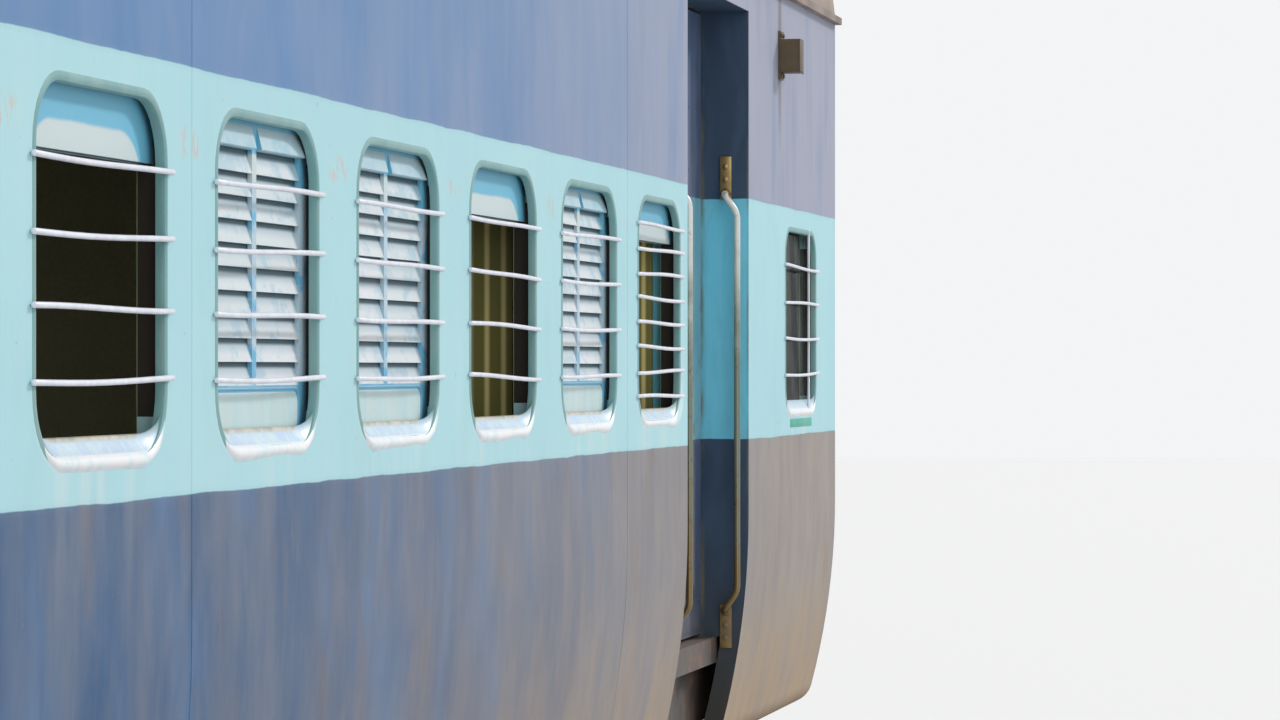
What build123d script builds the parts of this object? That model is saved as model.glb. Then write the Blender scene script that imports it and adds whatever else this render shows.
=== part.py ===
"""Broad gauge passenger coach of the sleeper type, at full size, in millimetres.

X runs along the coach, Y across it and Z up. The origin is under the middle of the coach,
at the lowest point of the wheel flanges. Heights in the tables are above the rail's top,
and up() turns them into Z.
"""

import os
from math import asin, atan2, cos, degrees, radians, sin, sqrt

from build123d import *

os.makedirs("parts", exist_ok=True)

# Running gear
flange_height = 28.5
tread_diameter = 915
wheel_back_to_back = 1600
wheel_rim_width = 127
wheel_rim_depth = 68
wheel_hub_radius = 130
wheel_seat_radius = 92.5
axle_body_radius = 82
journal_radius = 60
journal_spacing = 2159
journal_clearance = 0.5
axle_length = 2290
bogie_wheelbase = 2896
bogie_centre_from_end = 3277
pivot_radius = 85
pivot_clearance = 2
slide_gap = 0.3
wheel_sides = 24
hub_sides = 12

# Body shell
body_length = 21337
buffer_projection = 480
body_width = 3245
roof_top_height = 4025
gutter_height = 3350
floor_height = 1283
floor_thickness = 80
turn_height = 1660
turn_radius = 2600
knee_height = 1000
lip_radius = 90
lip_end_angle = 80
wall_thickness = 60
roof_thickness = 60
shoulder_radius = 420
seat_gap = 0.3
round_sides = 16

# Bays of the saloon, two windows a side in each
bay_count = 9
saloon_end_inset = 2568.5

# Windows
window_pillar = 280
window_height = 610
window_corner = 110
corner_flats = 3
window_top_height = 2584
door_side_window_width = 560
bar_size = 15
bar_overlap = 26
bar_count = 4
bar_pitch = 119
door_side_bar_count = 8
door_side_bar_pitch = 67
bar_stand_off = 0.5
skin_lip = 18
pocket_margin = 22
shutter_thickness = 18
shutter_inset = 30
shutter_edge_gap = 0.5
louvre_count = 10
louvre_pitch = 44
louvre_depth = 12
louvre_top = 250
shutter_rail = 26
shutter_stile = 26
sash_thickness = 14
sash_gap = 1
sash_rail = 30
sash_show = 110
glass_thickness = 5
shuttered_windows = ((-1, (1, 3, 4, 8, 11, 12, 16)), (1, (2, 3, 7, 10, 14)))
closed_glass_windows = ((-1, (7, 14)), (1, (5, 12, 16)))

# Lavatory windows
lavatory_window_from_end = 720
lavatory_window_size = 600
lavatory_window_corner = 90
lavatory_upright_shift = 265
hopper_lean = 12

# Doorways
doorway_near_end = 1688
doorway_width = 965
doorway_top_height = 3235
recess_depth = 150
jamb_width = 60
door_thickness = 40
door_gap = 10
door_window_width = 480
door_window_height = 700
door_window_sill = 1000
door_window_corner = 60
door_bar_count = 4
door_bar_pitch = 140
door_bar_size = 12
door_panel_foot = 150
door_panel_width = 700
door_panel_height = 650
door_panel_depth = 6
handle_from_edge = 70
handle_height = 900
handle_length = 120
handle_width = 28
handle_depth = 35
hinge_radius = 14
hinge_gap = 2
hinge_strap_width = 60

# Underframe
solebar_depth = 195
solebar_width = 75
solebar_inner_y = 1375
headstock_depth = 200
headstock_thickness = 100
headstock_overhang = 15
cross_bearer_pitch = 1100
cross_bearer_width = 70
cross_bearer_depth = 150
body_bolster_width = 420
end_bearer_shares = (0.4, 0.75)
draft_sill_y = 180
draft_sill_width = 70
pivot_pin_depth = 150
trough_pitch = 200
trough_rib = 50
trough_slope = 25
trough_depth = 45
end_rib_y = (-1250, -850, 850, 1250)
end_rib_width = 60
end_rib_depth = 22
end_rib_top = 3350

# Gangway
gangway_width = 760
gangway_top_height = 3283
bellows_margin = 125
bellows_rise = 137
bellows_wall = 50
bellows_folds = 5
fold_depth = 60
faceplate_thickness = 60
faceplate_setback = 10
fall_plate_thickness = 8
gangway_foot_drop = 120

# Buffers and draw gear
buffer_height = 1105
buffer_spacing = 1956
buffer_casing_radius = 105
buffer_casing_length = 330
buffer_casing_flare = 20
buffer_flare_length = 132
buffer_stem_radius = 74
buffer_head_radius = 228
buffer_head_edge = 22
buffer_head_crown = 26
buffer_sides = 20
buffer_face_table = (
    # share of the crown, share of the head's radius
    (0.75, 0.5),
    (1.0, 0.15),
)
buffer_flange_size = 330
buffer_flange_thickness = 25
draw_hook_reach = 330
draw_hook_thickness = 60
hook_table = (
    # share of the hook's reach, height over the buffers' middle
    (0.001, -55),
    (0.75, -55),
    (1.0, -15),
    (1.0, 38),
    (0.86, 52),
    (0.78, 15),
    (0.55, 0),
    (0.4, 50),
    (0.001, 50),
)
link_bar_radius = 18
link_spread = 85
link_drop = 330
link_share = 0.5
link_pin_shares = (0, 0.55, 1)

# Bogie
side_beam_width = 140
side_beam_bottom = 690
side_beam_top = 870
bogie_frame_length = 4100
transom_x = 420
transom_width = 150
bogie_headstock_width = 90
bolster_width = 550
bolster_top = 900
bolster_end_bottom = 540
bolster_end_top = 680
bolster_reach = 1230
side_bearer_y = 800
side_bearer_size = 260
plank_bottom = 190
plank_thickness = 60
plank_width = 550
plank_reach = 1230
hanger_x = 300
hanger_size = 45
secondary_spring_radius = 125
secondary_spring_x = 150
secondary_spring_y = 1095
primary_spring_radius = 107
primary_spring_x = 290
axle_box_radius = 150
axle_box_inner_y = 985
axle_box_outer_y = 1195
wing_bottom = 290
wing_thickness = 50
brake_block_radius = 497
brake_block_width = 75
brake_beam_size = 60
brake_shoe_length = 84
brake_shoe_height = 300
brake_hanger_size = 36
headstock_lift = 40
beam_side_gap = 10
pivot_bore_extra = 20
hanger_lap = 110
axle_cover_thickness = 30
axle_cover_radius = 105
spring_sides = 8
axle_end_gap = 5
wing_margin = 15
hub_overhang_inside = 15
hub_overhang_outside = 20
web_inset = 45
flange_round = 12
flange_thickness = 32
tread_rise = 2
seat_shoulder = 20

# Fittings
rail_bar_radius = 15
handrail_top_height = 2665
handrail_bottom_height = 1365
handrail_stand_off = 45
handrail_root_inset = 72
handrail_inset = 28
handrail_bend = 60
step_width = 650
step_heights = (980, 755, 530)
step_inner_y = 1385
step_outer_y = 1537
step_thickness = 28
step_hanger_thickness = 10
gutter_size = 24
gutter_sheet = 5
ventilator_length = 420
ventilator_width = 240
ventilator_rise = 95
ventilator_edge_rise = 47
ventilator_slope = 105
ventilator_y = 760
ventilator_count = 10
lamp_bracket_from_end = 1130
lamp_bracket_height = 3140
lamp_plate_width = 60
lamp_plate_length = 157
lamp_plate_thickness = 8
lamp_socket_width = 65
lamp_socket_length = 104
lamp_socket_depth = 65
board_table = (
    # middle x, middle height, width, height, depth
    (0, 3200, 300, 160, 70),
    (0, 2765, 620, 150, 6),
    (-1900, 2850, 60, 260, 30),
    (1900, 2850, 60, 260, 30),
)

# Equipment under the floor
battery_box_length = 2100
battery_box_depth = 560
battery_box_height = 620
battery_box_x = 1500
battery_box_inset = 5
battery_lid_margin = 40
battery_lid_depth = 18
tank_table = (
    # middle x, middle y, radius, length
    (3850, 750, 205, 1500),
    (3850, -750, 130, 1250),
    (-3850, 600, 180, 1250),
    (-3850, -600, 205, 1500),
)
strap_drop = 60
strap_width = 50
strap_thickness = 6
tank_dish_share = 0.3
tank_end_share = 0.55
chute_radius = 75
chute_wall = 8
chute_from_end = 768.5
chute_bore_depth = 300
chute_y = 1000
chute_bottom_height = 520

# Inside
partition_thickness = 30
aisle_inner_y = -390
aisle_outer_y = -990
partition_top_height = 3330
berth_width = 600
berth_thickness = 35
pad_thickness = 70
seat_height = 390
upper_berth_height = 1700
side_upper_height = 1520
corridor_y = 400
inner_door_height = 1950
pad_margin = 10
back_thickness = 55
back_seat_gap = 5
back_gap = 20
back_top_height = 1000
berth_wall_gap = 10

# Values that follow from the sizes above
over_buffers = body_length + 2 * buffer_projection
bogie_spacing = body_length - 2 * bogie_centre_from_end
bay_length = (body_length - 2 * saloon_end_inset) / bay_count
window_count = 2 * bay_count
window_pitch = bay_length / 2
window_width = window_pitch - window_pillar
bellows_width = gangway_width + 2 * bellows_margin
bellows_top_height = gangway_top_height + bellows_rise
side_beam_y = journal_spacing / 2
half_length = body_length / 2
half_width = body_width / 2
rail_z = flange_height
bogie_x = bogie_spacing / 2
buffer_face_x = over_buffers / 2
wheel_radius = tread_diameter / 2
flange_radius = wheel_radius + flange_height
doorway_outer_x = half_length - doorway_near_end
doorway_inner_x = doorway_outer_x - doorway_width
wall_end_x = doorway_inner_x - jamb_width
corner_start_x = doorway_outer_x + jamb_width
leaf_outer_y = half_width - recess_depth
leaf_inner_y = leaf_outer_y - door_thickness
end_partition_x = wall_end_x - partition_thickness / 2 - seat_gap
lavatory_wall_x = corner_start_x + seat_gap
first_window_x = (window_count - 1) * window_pitch / 2
ENDS = (1, -1)
SIDES = (-1, 1)


def up(height):
    """Z of a height above the rail."""
    return rail_z + height


axle_z = up(wheel_radius)
floor_z = up(floor_height)
floor_bottom_z = up(floor_height - floor_thickness)
gutter_z = up(gutter_height)
window_mid_z = up(window_top_height - window_height / 2)
turn_drop = turn_height - knee_height
turn_angle = asin(turn_drop / turn_radius)
lip_centre = (
    half_width - turn_radius * (1 - cos(turn_angle)) - lip_radius * cos(turn_angle),
    up(knee_height) + lip_radius * sin(turn_angle),
)
lip_angle = radians(lip_end_angle)
skirt_bottom_z = lip_centre[1] - lip_radius * sin(lip_angle)
shoulder_span = half_width - shoulder_radius
roof_rise = roof_top_height - gutter_height
crown_radius = (roof_rise**2 + shoulder_span**2 - shoulder_radius**2) / (
    2 * (roof_rise - shoulder_radius)
)
crown_centre_z = up(roof_top_height) - crown_radius
solebar_bottom_z = floor_bottom_z - solebar_depth
solebar_outer_y = solebar_inner_y + solebar_width
headstock_half = solebar_outer_y + headstock_overhang


def skin_y(z, inset=0.0):
    """Half width of the side skin, or of a face that far inside it, at a height z."""
    drop = max(up(turn_height) - z, 0)
    return half_width - turn_radius + sqrt((turn_radius - inset) ** 2 - drop**2)


def roof_z(y, inset=0.0):
    """Height of the roof's crown, or of a face that far under it, at a width y."""
    return crown_centre_z + sqrt((crown_radius - inset) ** 2 - y**2)


def polar(centre, radius, angle):
    """A point at an angle in degrees, counted from the outward side, on a circle."""
    return (centre[0] + radius * cos(radians(angle)), centre[1] + radius * sin(radians(angle)))


def arc(centre, radius, start, end):
    """An arc of a circle between two angles in degrees."""
    ThreePointArc(
        polar(centre, radius, start),
        polar(centre, radius, (start + end) / 2),
        polar(centre, radius, end),
    )


def block(x, y, z, mode=Mode.ADD):
    """A box between two lengths, two widths and two heights."""
    with Locations(((x[0] + x[1]) / 2, (y[0] + y[1]) / 2, (z[0] + z[1]) / 2)):
        Box(abs(x[1] - x[0]), abs(y[1] - y[0]), abs(z[1] - z[0]), mode=mode)


def flat_outline(plane, points):
    """A flat face inside straight edges."""
    with BuildSketch(plane) as flat:
        with BuildLine():
            Polyline(*points, close=True)
        make_face()
    return flat.sketch


def turned(origin, direction, profile, mode=Mode.ADD):
    """A turned solid whose profile rows are distance along the axis and radius."""
    along = Vector(*direction)
    outward = Vector(0, 1, 0) if abs(along.Z) > 0.5 else Vector(0, 0, 1)
    half_plane = Plane(origin=origin, x_dir=along, z_dir=along.cross(outward))
    revolve(flat_outline(half_plane, profile), axis=Axis(origin, direction), mode=mode)


def drum(origin, direction, length, radius, mode=Mode.ADD):
    """A plain round bar or bore from an origin along a direction."""
    turned(origin, direction, [(0, 0), (0, radius), (length, radius), (length, 0)], mode)


def many_sided(origin, direction, profile, sides, mode=Mode.ADD):
    """Round stock as a stack of many-sided frusta, with flats at its top and bottom.

    Profile rows are distance along the axis and radius over the flats.
    """
    along = Vector(*direction)
    upward = Vector(1, 0, 0) if abs(along.Z) > 0.5 else Vector(0, 0, 1)
    for (start, first), (end, second) in zip(profile, profile[1:]):
        with BuildSketch(Plane.XY, mode=Mode.PRIVATE) as ring:
            RegularPolygon(max(first, second), sides, major_radius=False, rotation=180 / sides)
        lean = degrees(atan2(abs(first - second), end - start))
        frustum = extrude(ring.sketch, amount=end - start, taper=lean, mode=Mode.PRIVATE)
        foot, heading = (start, along) if first >= second else (end, -along)
        seat = Plane(origin=Vector(*origin) + along * foot, x_dir=upward, z_dir=heading)
        add(seat.location * frustum, mode=mode)


def wall_section(x, side, depth, top_z, ledge_y=None):
    """The side wall's section at x: upright, turned under below, with a rounded lip.

    With a ledge, the wall is as deep as that width from the floor's top upwards.
    """
    turn_centre = (half_width - turn_radius, up(turn_height))
    lean = degrees(turn_angle)
    inner_turn = turn_radius - depth
    inner_lip = lip_radius - depth
    foot = -degrees(asin((up(turn_height) - floor_z) / inner_turn))
    with BuildSketch(Plane.YZ.offset(x)) as section:
        with BuildLine():
            Line((half_width, top_z), (half_width, up(turn_height)))
            arc(turn_centre, turn_radius, 0, -lean)
            arc(lip_centre, lip_radius, -lean, -lip_end_angle)
            Line(
                polar(lip_centre, lip_radius, -lip_end_angle),
                polar(lip_centre, inner_lip, -lip_end_angle),
            )
            arc(lip_centre, inner_lip, -lip_end_angle, -lean)
            if ledge_y is None:
                arc(turn_centre, inner_turn, -lean, 0)
                Line((half_width - depth, up(turn_height)), (half_width - depth, top_z))
                Line((half_width - depth, top_z), (half_width, top_z))
            else:
                arc(turn_centre, inner_turn, -lean, foot)
                Line(polar(turn_centre, inner_turn, foot), (ledge_y, floor_z))
                Line((ledge_y, floor_z), (ledge_y, top_z))
                Line((ledge_y, top_z), (half_width, top_z))
        make_face()
    if side > 0:
        return section.sketch
    return section.sketch.mirror(Plane.XZ)


def shell_section(x, inset, foot_z):
    """The coach's whole outline at x, that far inside the skin, open from foot_z upwards."""
    shoulder_centre = (half_width - shoulder_radius, gutter_z)
    lean = 90 - degrees(asin(shoulder_span / (crown_radius - shoulder_radius)))
    turn_centre = (half_width - turn_radius, up(turn_height))
    foot_y = skin_y(foot_z, inset)
    wall_y = half_width - inset
    with BuildSketch(Plane.YZ.offset(x)) as half:
        with BuildLine():
            Line((0, foot_z), (foot_y, foot_z))
            if foot_z < up(turn_height):
                foot = -degrees(asin((up(turn_height) - foot_z) / (turn_radius - inset)))
                arc(turn_centre, turn_radius - inset, foot, 0)
                Line((wall_y, up(turn_height)), (wall_y, gutter_z))
            elif foot_z < gutter_z:
                Line((wall_y, foot_z), (wall_y, gutter_z))
            arc(shoulder_centre, shoulder_radius - inset, 0, lean)
            arc((0, crown_centre_z), crown_radius - inset, lean, 90)
            Line((0, crown_centre_z + crown_radius - inset), (0, foot_z))
        make_face()
        mirror(about=Plane.YZ)
    return half.sketch


def window_places():
    """Rows of window number, its middle, its width, bar count and bar pitch."""
    rows = []
    shift = (window_width - door_side_window_width) / 2
    for number in range(window_count):
        x = first_window_x - number * window_pitch
        if number in (0, window_count - 1):
            x -= shift if x > 0 else -shift
            rows.append((number, x, door_side_window_width, door_side_bar_count, door_side_bar_pitch))
        else:
            rows.append((number, x, window_width, bar_count, bar_pitch))
    return rows


def rounded(width, height, corner):
    """Points round a rectangle, whose corners are runs of flats that touch the true curve."""
    reach = corner / cos(radians(45 / corner_flats))
    points = []
    for quarter, (right, top) in enumerate(((1, 1), (-1, 1), (-1, -1), (1, -1))):
        centre = (right * (width / 2 - corner), top * (height / 2 - corner))
        for flat in range(corner_flats):
            points.append(polar(centre, reach, 90 * (quarter + (flat + 0.5) / corner_flats)))
    return points


def cut_windows(side, places, height, corner, lift=0):
    """Cuts rounded windows in the skin, and the shutter pockets that rise behind them."""
    skin_face = Plane.XZ.offset(-side * (half_width + 1))
    pocket_face = Plane.XZ.offset(-side * (half_width - skin_lip))
    with BuildSketch(skin_face) as holes:
        for x, width in places:
            with Locations((x, window_mid_z)):
                Polygon(*rounded(width, height, corner))
    with BuildSketch(pocket_face) as pockets:
        for x, width in places:
            with Locations((x, window_mid_z + lift / 2)):
                Rectangle(width + 2 * pocket_margin, height + 2 * pocket_margin + lift)
    extrude(holes.sketch, amount=side * (skin_lip + 1), mode=Mode.SUBTRACT)
    extrude(pockets.sketch, amount=side * wall_thickness, mode=Mode.SUBTRACT)


def four_corners():
    """Repeats what is built so far at the other three corners of the coach."""
    mirror(about=Plane.XZ)
    mirror(about=Plane.YZ)


def keep(name, built):
    """Labels a finished piece and writes it."""
    built.part.label = name
    export_step(built.part, f"parts/{name}.step")


# Side walls with their windows cut, and pockets that the raised shutters stand in
pocket_half = window_height / 2 + pocket_margin - shutter_edge_gap
raised_lift = window_height / 2 - sash_show + pocket_half
side_names = {-1: "right", 1: "left"}
for side in SIDES:
    with BuildPart() as side_wall:
        extrude(wall_section(-wall_end_x, side, wall_thickness, gutter_z), amount=2 * wall_end_x)
        places = [(x, width) for number, x, width, count, pitch in window_places()]
        cut_windows(side, places, window_height, window_corner, raised_lift)
    keep(f"side_wall_{side_names[side]}", side_wall)

# Corner panels between the doorways and the coach ends
lavatory_window_x = half_length - lavatory_window_from_end
with BuildPart() as corner_panels:
    panel = wall_section(corner_start_x, 1, wall_thickness, gutter_z)
    extrude(panel, amount=half_length - corner_start_x)
    places = [(lavatory_window_x, lavatory_window_size)]
    cut_windows(1, places, lavatory_window_size, lavatory_window_corner)
    four_corners()
keep("corner_panels", corner_panels)

# Door portals: two deep jambs and a header round each recess
with BuildPart() as door_portals:
    for start in (wall_end_x, doorway_outer_x):
        jamb = wall_section(start, 1, wall_thickness, gutter_z, ledge_y=leaf_inner_y)
        extrude(jamb, amount=jamb_width)
    header_z = (up(doorway_top_height), gutter_z)
    block((doorway_inner_x, doorway_outer_x), (leaf_inner_y, half_width), header_z)
    four_corners()
keep("door_portals", door_portals)

# Roof shell
with BuildPart() as roof:
    extrude(shell_section(-half_length, 0, gutter_z), amount=body_length)
    hollow = shell_section(-half_length, roof_thickness, gutter_z)
    extrude(hollow, amount=body_length, mode=Mode.SUBTRACT)
keep("roof", roof)

# End walls with the gangway opening
end_names = {1: "front", -1: "rear"}
for end in ENDS:
    with BuildPart() as end_wall:
        start = half_length - wall_thickness if end > 0 else -half_length
        extrude(shell_section(start, wall_thickness + seat_gap, floor_z), amount=wall_thickness)
        block(
            (start - 1, start + wall_thickness + 1),
            (-gangway_width / 2, gangway_width / 2),
            (floor_z - 1, up(gangway_top_height)),
            mode=Mode.SUBTRACT,
        )
        rib_x = (end * half_length, end * (half_length + end_rib_depth))
        for y in end_rib_y:
            block(rib_x, (y - end_rib_width / 2, y + end_rib_width / 2), (floor_z, up(end_rib_top)))
    keep(f"end_wall_{end_names[end]}", end_wall)

# Trough floor: a flat top on ribs that run lengthwise
floor_half = skin_y(floor_bottom_z, wall_thickness + seat_gap)
trough_number = int((floor_half - trough_rib / 2) // trough_pitch)
with BuildPart() as trough_floor:
    trough_line = [(-floor_half, floor_z), (-floor_half, floor_bottom_z)]
    for number in range(-trough_number, trough_number):
        low = number * trough_pitch + trough_rib / 2
        high = (number + 1) * trough_pitch - trough_rib / 2
        trough_line += [
            (low, floor_bottom_z),
            (low + trough_slope, floor_bottom_z + trough_depth),
            (high - trough_slope, floor_bottom_z + trough_depth),
            (high, floor_bottom_z),
        ]
    trough_line += [(floor_half, floor_bottom_z), (floor_half, floor_z)]
    extrude(flat_outline(Plane.YZ.offset(-half_length), trough_line), amount=body_length)
keep("trough_floor", trough_floor)

# Underframe: solebars, headstocks, body bolsters with their pins, draft sills and bearers
frame_end = half_length - headstock_thickness
bearer_bottom_z = floor_bottom_z - cross_bearer_depth
bearer_number = int((bogie_x - body_bolster_width) // cross_bearer_pitch)
bearer_places = [number * cross_bearer_pitch for number in range(-bearer_number, bearer_number + 1)]
cross_reach = solebar_inner_y - seat_gap
sill_outer_y = draft_sill_y + draft_sill_width
end_bearer_spans = (
    (-cross_reach, -sill_outer_y - seat_gap),
    (-draft_sill_y + seat_gap, draft_sill_y - seat_gap),
    (sill_outer_y + seat_gap, cross_reach),
)
with BuildPart() as underframe:
    member_z = (solebar_bottom_z, floor_bottom_z)
    bearer_z = (bearer_bottom_z, floor_bottom_z)
    for side in SIDES:
        solebar_y = (side * solebar_inner_y, side * solebar_outer_y)
        block((-frame_end + seat_gap, frame_end - seat_gap), solebar_y, member_z)
    for end in ENDS:
        stock_z = (floor_bottom_z - headstock_depth, floor_bottom_z)
        block((end * frame_end, end * half_length), (-headstock_half, headstock_half), stock_z)
        bolster_x = (end * bogie_x - body_bolster_width / 2, end * bogie_x + body_bolster_width / 2)
        block(bolster_x, (-cross_reach, cross_reach), member_z)
        pin_z = up(bolster_top) - pivot_pin_depth
        drum((end * bogie_x, 0, pin_z), (0, 0, 1), solebar_bottom_z - seat_gap - pin_z, pivot_radius)
        sill_x = (end * (bogie_x + body_bolster_width / 2 + seat_gap), end * (frame_end - seat_gap))
        for side in SIDES:
            block(sill_x, (side * draft_sill_y, side * sill_outer_y), member_z)
        for share in end_bearer_shares:
            bearer_x = end * (bogie_x + (frame_end - bogie_x) * share)
            for span in end_bearer_spans:
                block((bearer_x - cross_bearer_width / 2, bearer_x + cross_bearer_width / 2), span, bearer_z)
    for x in bearer_places:
        block((x - cross_bearer_width / 2, x + cross_bearer_width / 2), (-cross_reach, cross_reach), bearer_z)
keep("underframe", underframe)

# Window bars, with the grille of the lavatory windows
bar_y = -(half_width + bar_stand_off + bar_size / 2)


def grille(width, count, pitch, upright_shift=None):
    """The bars of one window, round its middle, on the side that faces -Y."""
    reach = width / 2 + bar_overlap
    with BuildPart() as bars:
        rows = [(bar_y, (row - (count - 1) / 2) * pitch) for row in range(count)]
        with BuildSketch(Plane.YZ.offset(-reach)) as sections:
            with Locations(*rows):
                Rectangle(bar_size, bar_size)
        extrude(sections.sketch, amount=2 * reach)
        if upright_shift is not None:
            with BuildSketch(Plane.XY.offset(-reach)) as section:
                with Locations((upright_shift, bar_y)):
                    Rectangle(bar_size, bar_size)
            extrude(section.sketch, amount=2 * reach)
    return bars.part


def place_on(side, piece, places):
    """Adds copies of a piece made for the -Y side at places along one side."""
    turn = 0 if side < 0 else 180
    with Locations(*[Location((x, 0, window_mid_z), (0, 0, turn)) for x in places]):
        add(piece)


rows = window_places()
plain_grille = grille(window_width, bar_count, bar_pitch)
close_grille = grille(door_side_window_width, door_side_bar_count, door_side_bar_pitch)
lavatory_grilles = {
    shift: grille(lavatory_window_size, bar_count, bar_pitch, shift * lavatory_upright_shift)
    for shift in (-1, 1)
}
for side in SIDES:
    with BuildPart() as window_bars:
        place_on(side, plain_grille, [x for number, x, width, count, pitch in rows[1:-1]])
        place_on(side, close_grille, [rows[0][1], rows[-1][1]])
        for end in ENDS:
            place_on(side, lavatory_grilles[end * side], [end * lavatory_window_x])
    keep(f"window_bars_{side_names[side]}", window_bars)

# Louvre shutters, lowered in some windows and raised in the pockets of the others


def louvre_panel(width):
    """A shutter with two columns of louvres, round its middle, facing -Y."""
    front_y = -(half_width - shutter_inset)
    half = width / 2 + pocket_margin - shutter_edge_gap
    slope = [(front_y - 1, louvre_top), (front_y, louvre_top)]
    for row in range(louvre_count):
        z = louvre_top - row * louvre_pitch
        slope += [(front_y + louvre_depth, z), (front_y, z - louvre_pitch)]
    slope.append((front_y - 1, louvre_top - louvre_count * louvre_pitch))
    column = width / 2 - shutter_rail - shutter_stile / 2
    with BuildPart() as panel:
        block((-half, half), (front_y, front_y + shutter_thickness), (-pocket_half, pocket_half))
        for start in (shutter_stile / 2, -shutter_stile / 2 - column):
            cut = flat_outline(Plane.YZ.offset(start), slope)
            extrude(cut, amount=column, mode=Mode.SUBTRACT)
    return panel.part


def raised_panel(width):
    """A raised shutter, of which only the plain foot rail shows, facing -Y."""
    front_y = -(half_width - shutter_inset)
    half = width / 2 + pocket_margin - shutter_edge_gap
    with BuildPart() as panel:
        height = (raised_lift - pocket_half, raised_lift + pocket_half)
        block((-half, half), (front_y, front_y + shutter_thickness), height)
    return panel.part


with BuildPart() as louvre_shutters:
    for side in SIDES:
        for number, x, width, count, pitch in rows:
            lowered = number in dict(shuttered_windows)[side]
            place_on(side, louvre_panel(width) if lowered else raised_panel(width), [x])
keep("louvre_shutters", louvre_shutters)

# Glass sashes behind the shutters: lowered, or raised with their foot showing
sash_y = half_width - shutter_inset - shutter_thickness - sash_gap


def sash(width, shift_z):
    """The stiles and rails of a sash, moved up from its window's middle, facing -Y."""
    half = width / 2 + pocket_margin - shutter_edge_gap
    depth = (-sash_y, -sash_y + sash_thickness)
    rail_half = half - sash_rail - seat_gap
    with BuildPart() as frame:
        for edge in (-1, 1):
            stile = (edge * (half - sash_rail), edge * half)
            block(stile, depth, (shift_z - pocket_half, shift_z + pocket_half))
            rail = (shift_z + edge * (pocket_half - sash_rail), shift_z + edge * pocket_half)
            block((-rail_half, rail_half), depth, rail)
    return frame.part


def pane(width, shift_z):
    """The glass of one sash."""
    half = width / 2 + pocket_margin - shutter_edge_gap - sash_rail
    tall = pocket_half - sash_rail
    inset = (sash_thickness - glass_thickness) / 2
    with BuildPart() as glass:
        depth = (-sash_y + inset, -sash_y + inset + glass_thickness)
        block((-half, half), depth, (shift_z - tall, shift_z + tall))
    return glass.part


def sash_places(side):
    """Rows of a sash's middle, its window's width and how far it is raised."""
    places = []
    for number, x, width, count, pitch in rows:
        lowered = number in dict(closed_glass_windows)[side]
        if number not in dict(shuttered_windows)[side]:
            places.append((x, width, 0 if lowered else raised_lift))
    return places


with BuildPart() as glass_sashes:
    for side in SIDES:
        for x, width, shift_z in sash_places(side):
            place_on(side, sash(width, shift_z), [x])
keep("glass_sashes", glass_sashes)


def hopper_pane():
    """The lavatory window's pane, leaning inwards from its foot, facing -Y."""
    half = lavatory_window_size / 2 + pocket_margin - shutter_edge_gap
    foot_y = -(half_width - skin_lip - seat_gap)
    head_y = foot_y + hopper_lean
    outline = [
        (foot_y, -half),
        (foot_y + glass_thickness, -half),
        (head_y + glass_thickness, half),
        (head_y, half),
    ]
    with BuildPart() as glass:
        extrude(flat_outline(Plane.YZ.offset(-half), outline), amount=2 * half)
    return glass.part


with BuildPart() as window_panes:
    for side in SIDES:
        for x, width, shift_z in sash_places(side):
            place_on(side, pane(width, shift_z), [x])
        place_on(side, hopper_pane(), [lavatory_window_x, -lavatory_window_x])
keep("window_panes", window_panes)

# Door leaves, each on a full length hinge barrel on the side nearer the coach end
leaf_end_x = doorway_outer_x - door_gap
leaf_start_x = doorway_inner_x + door_gap
leaf_foot_z = floor_z + door_gap
leaf_head_z = up(doorway_top_height) - door_gap
leaf_mid_x = (leaf_end_x + leaf_start_x) / 2
hinge_x = leaf_end_x
hinge_y = leaf_inner_y - hinge_radius - hinge_gap
door_window_mid_z = leaf_foot_z + door_window_sill + door_window_height / 2


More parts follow.
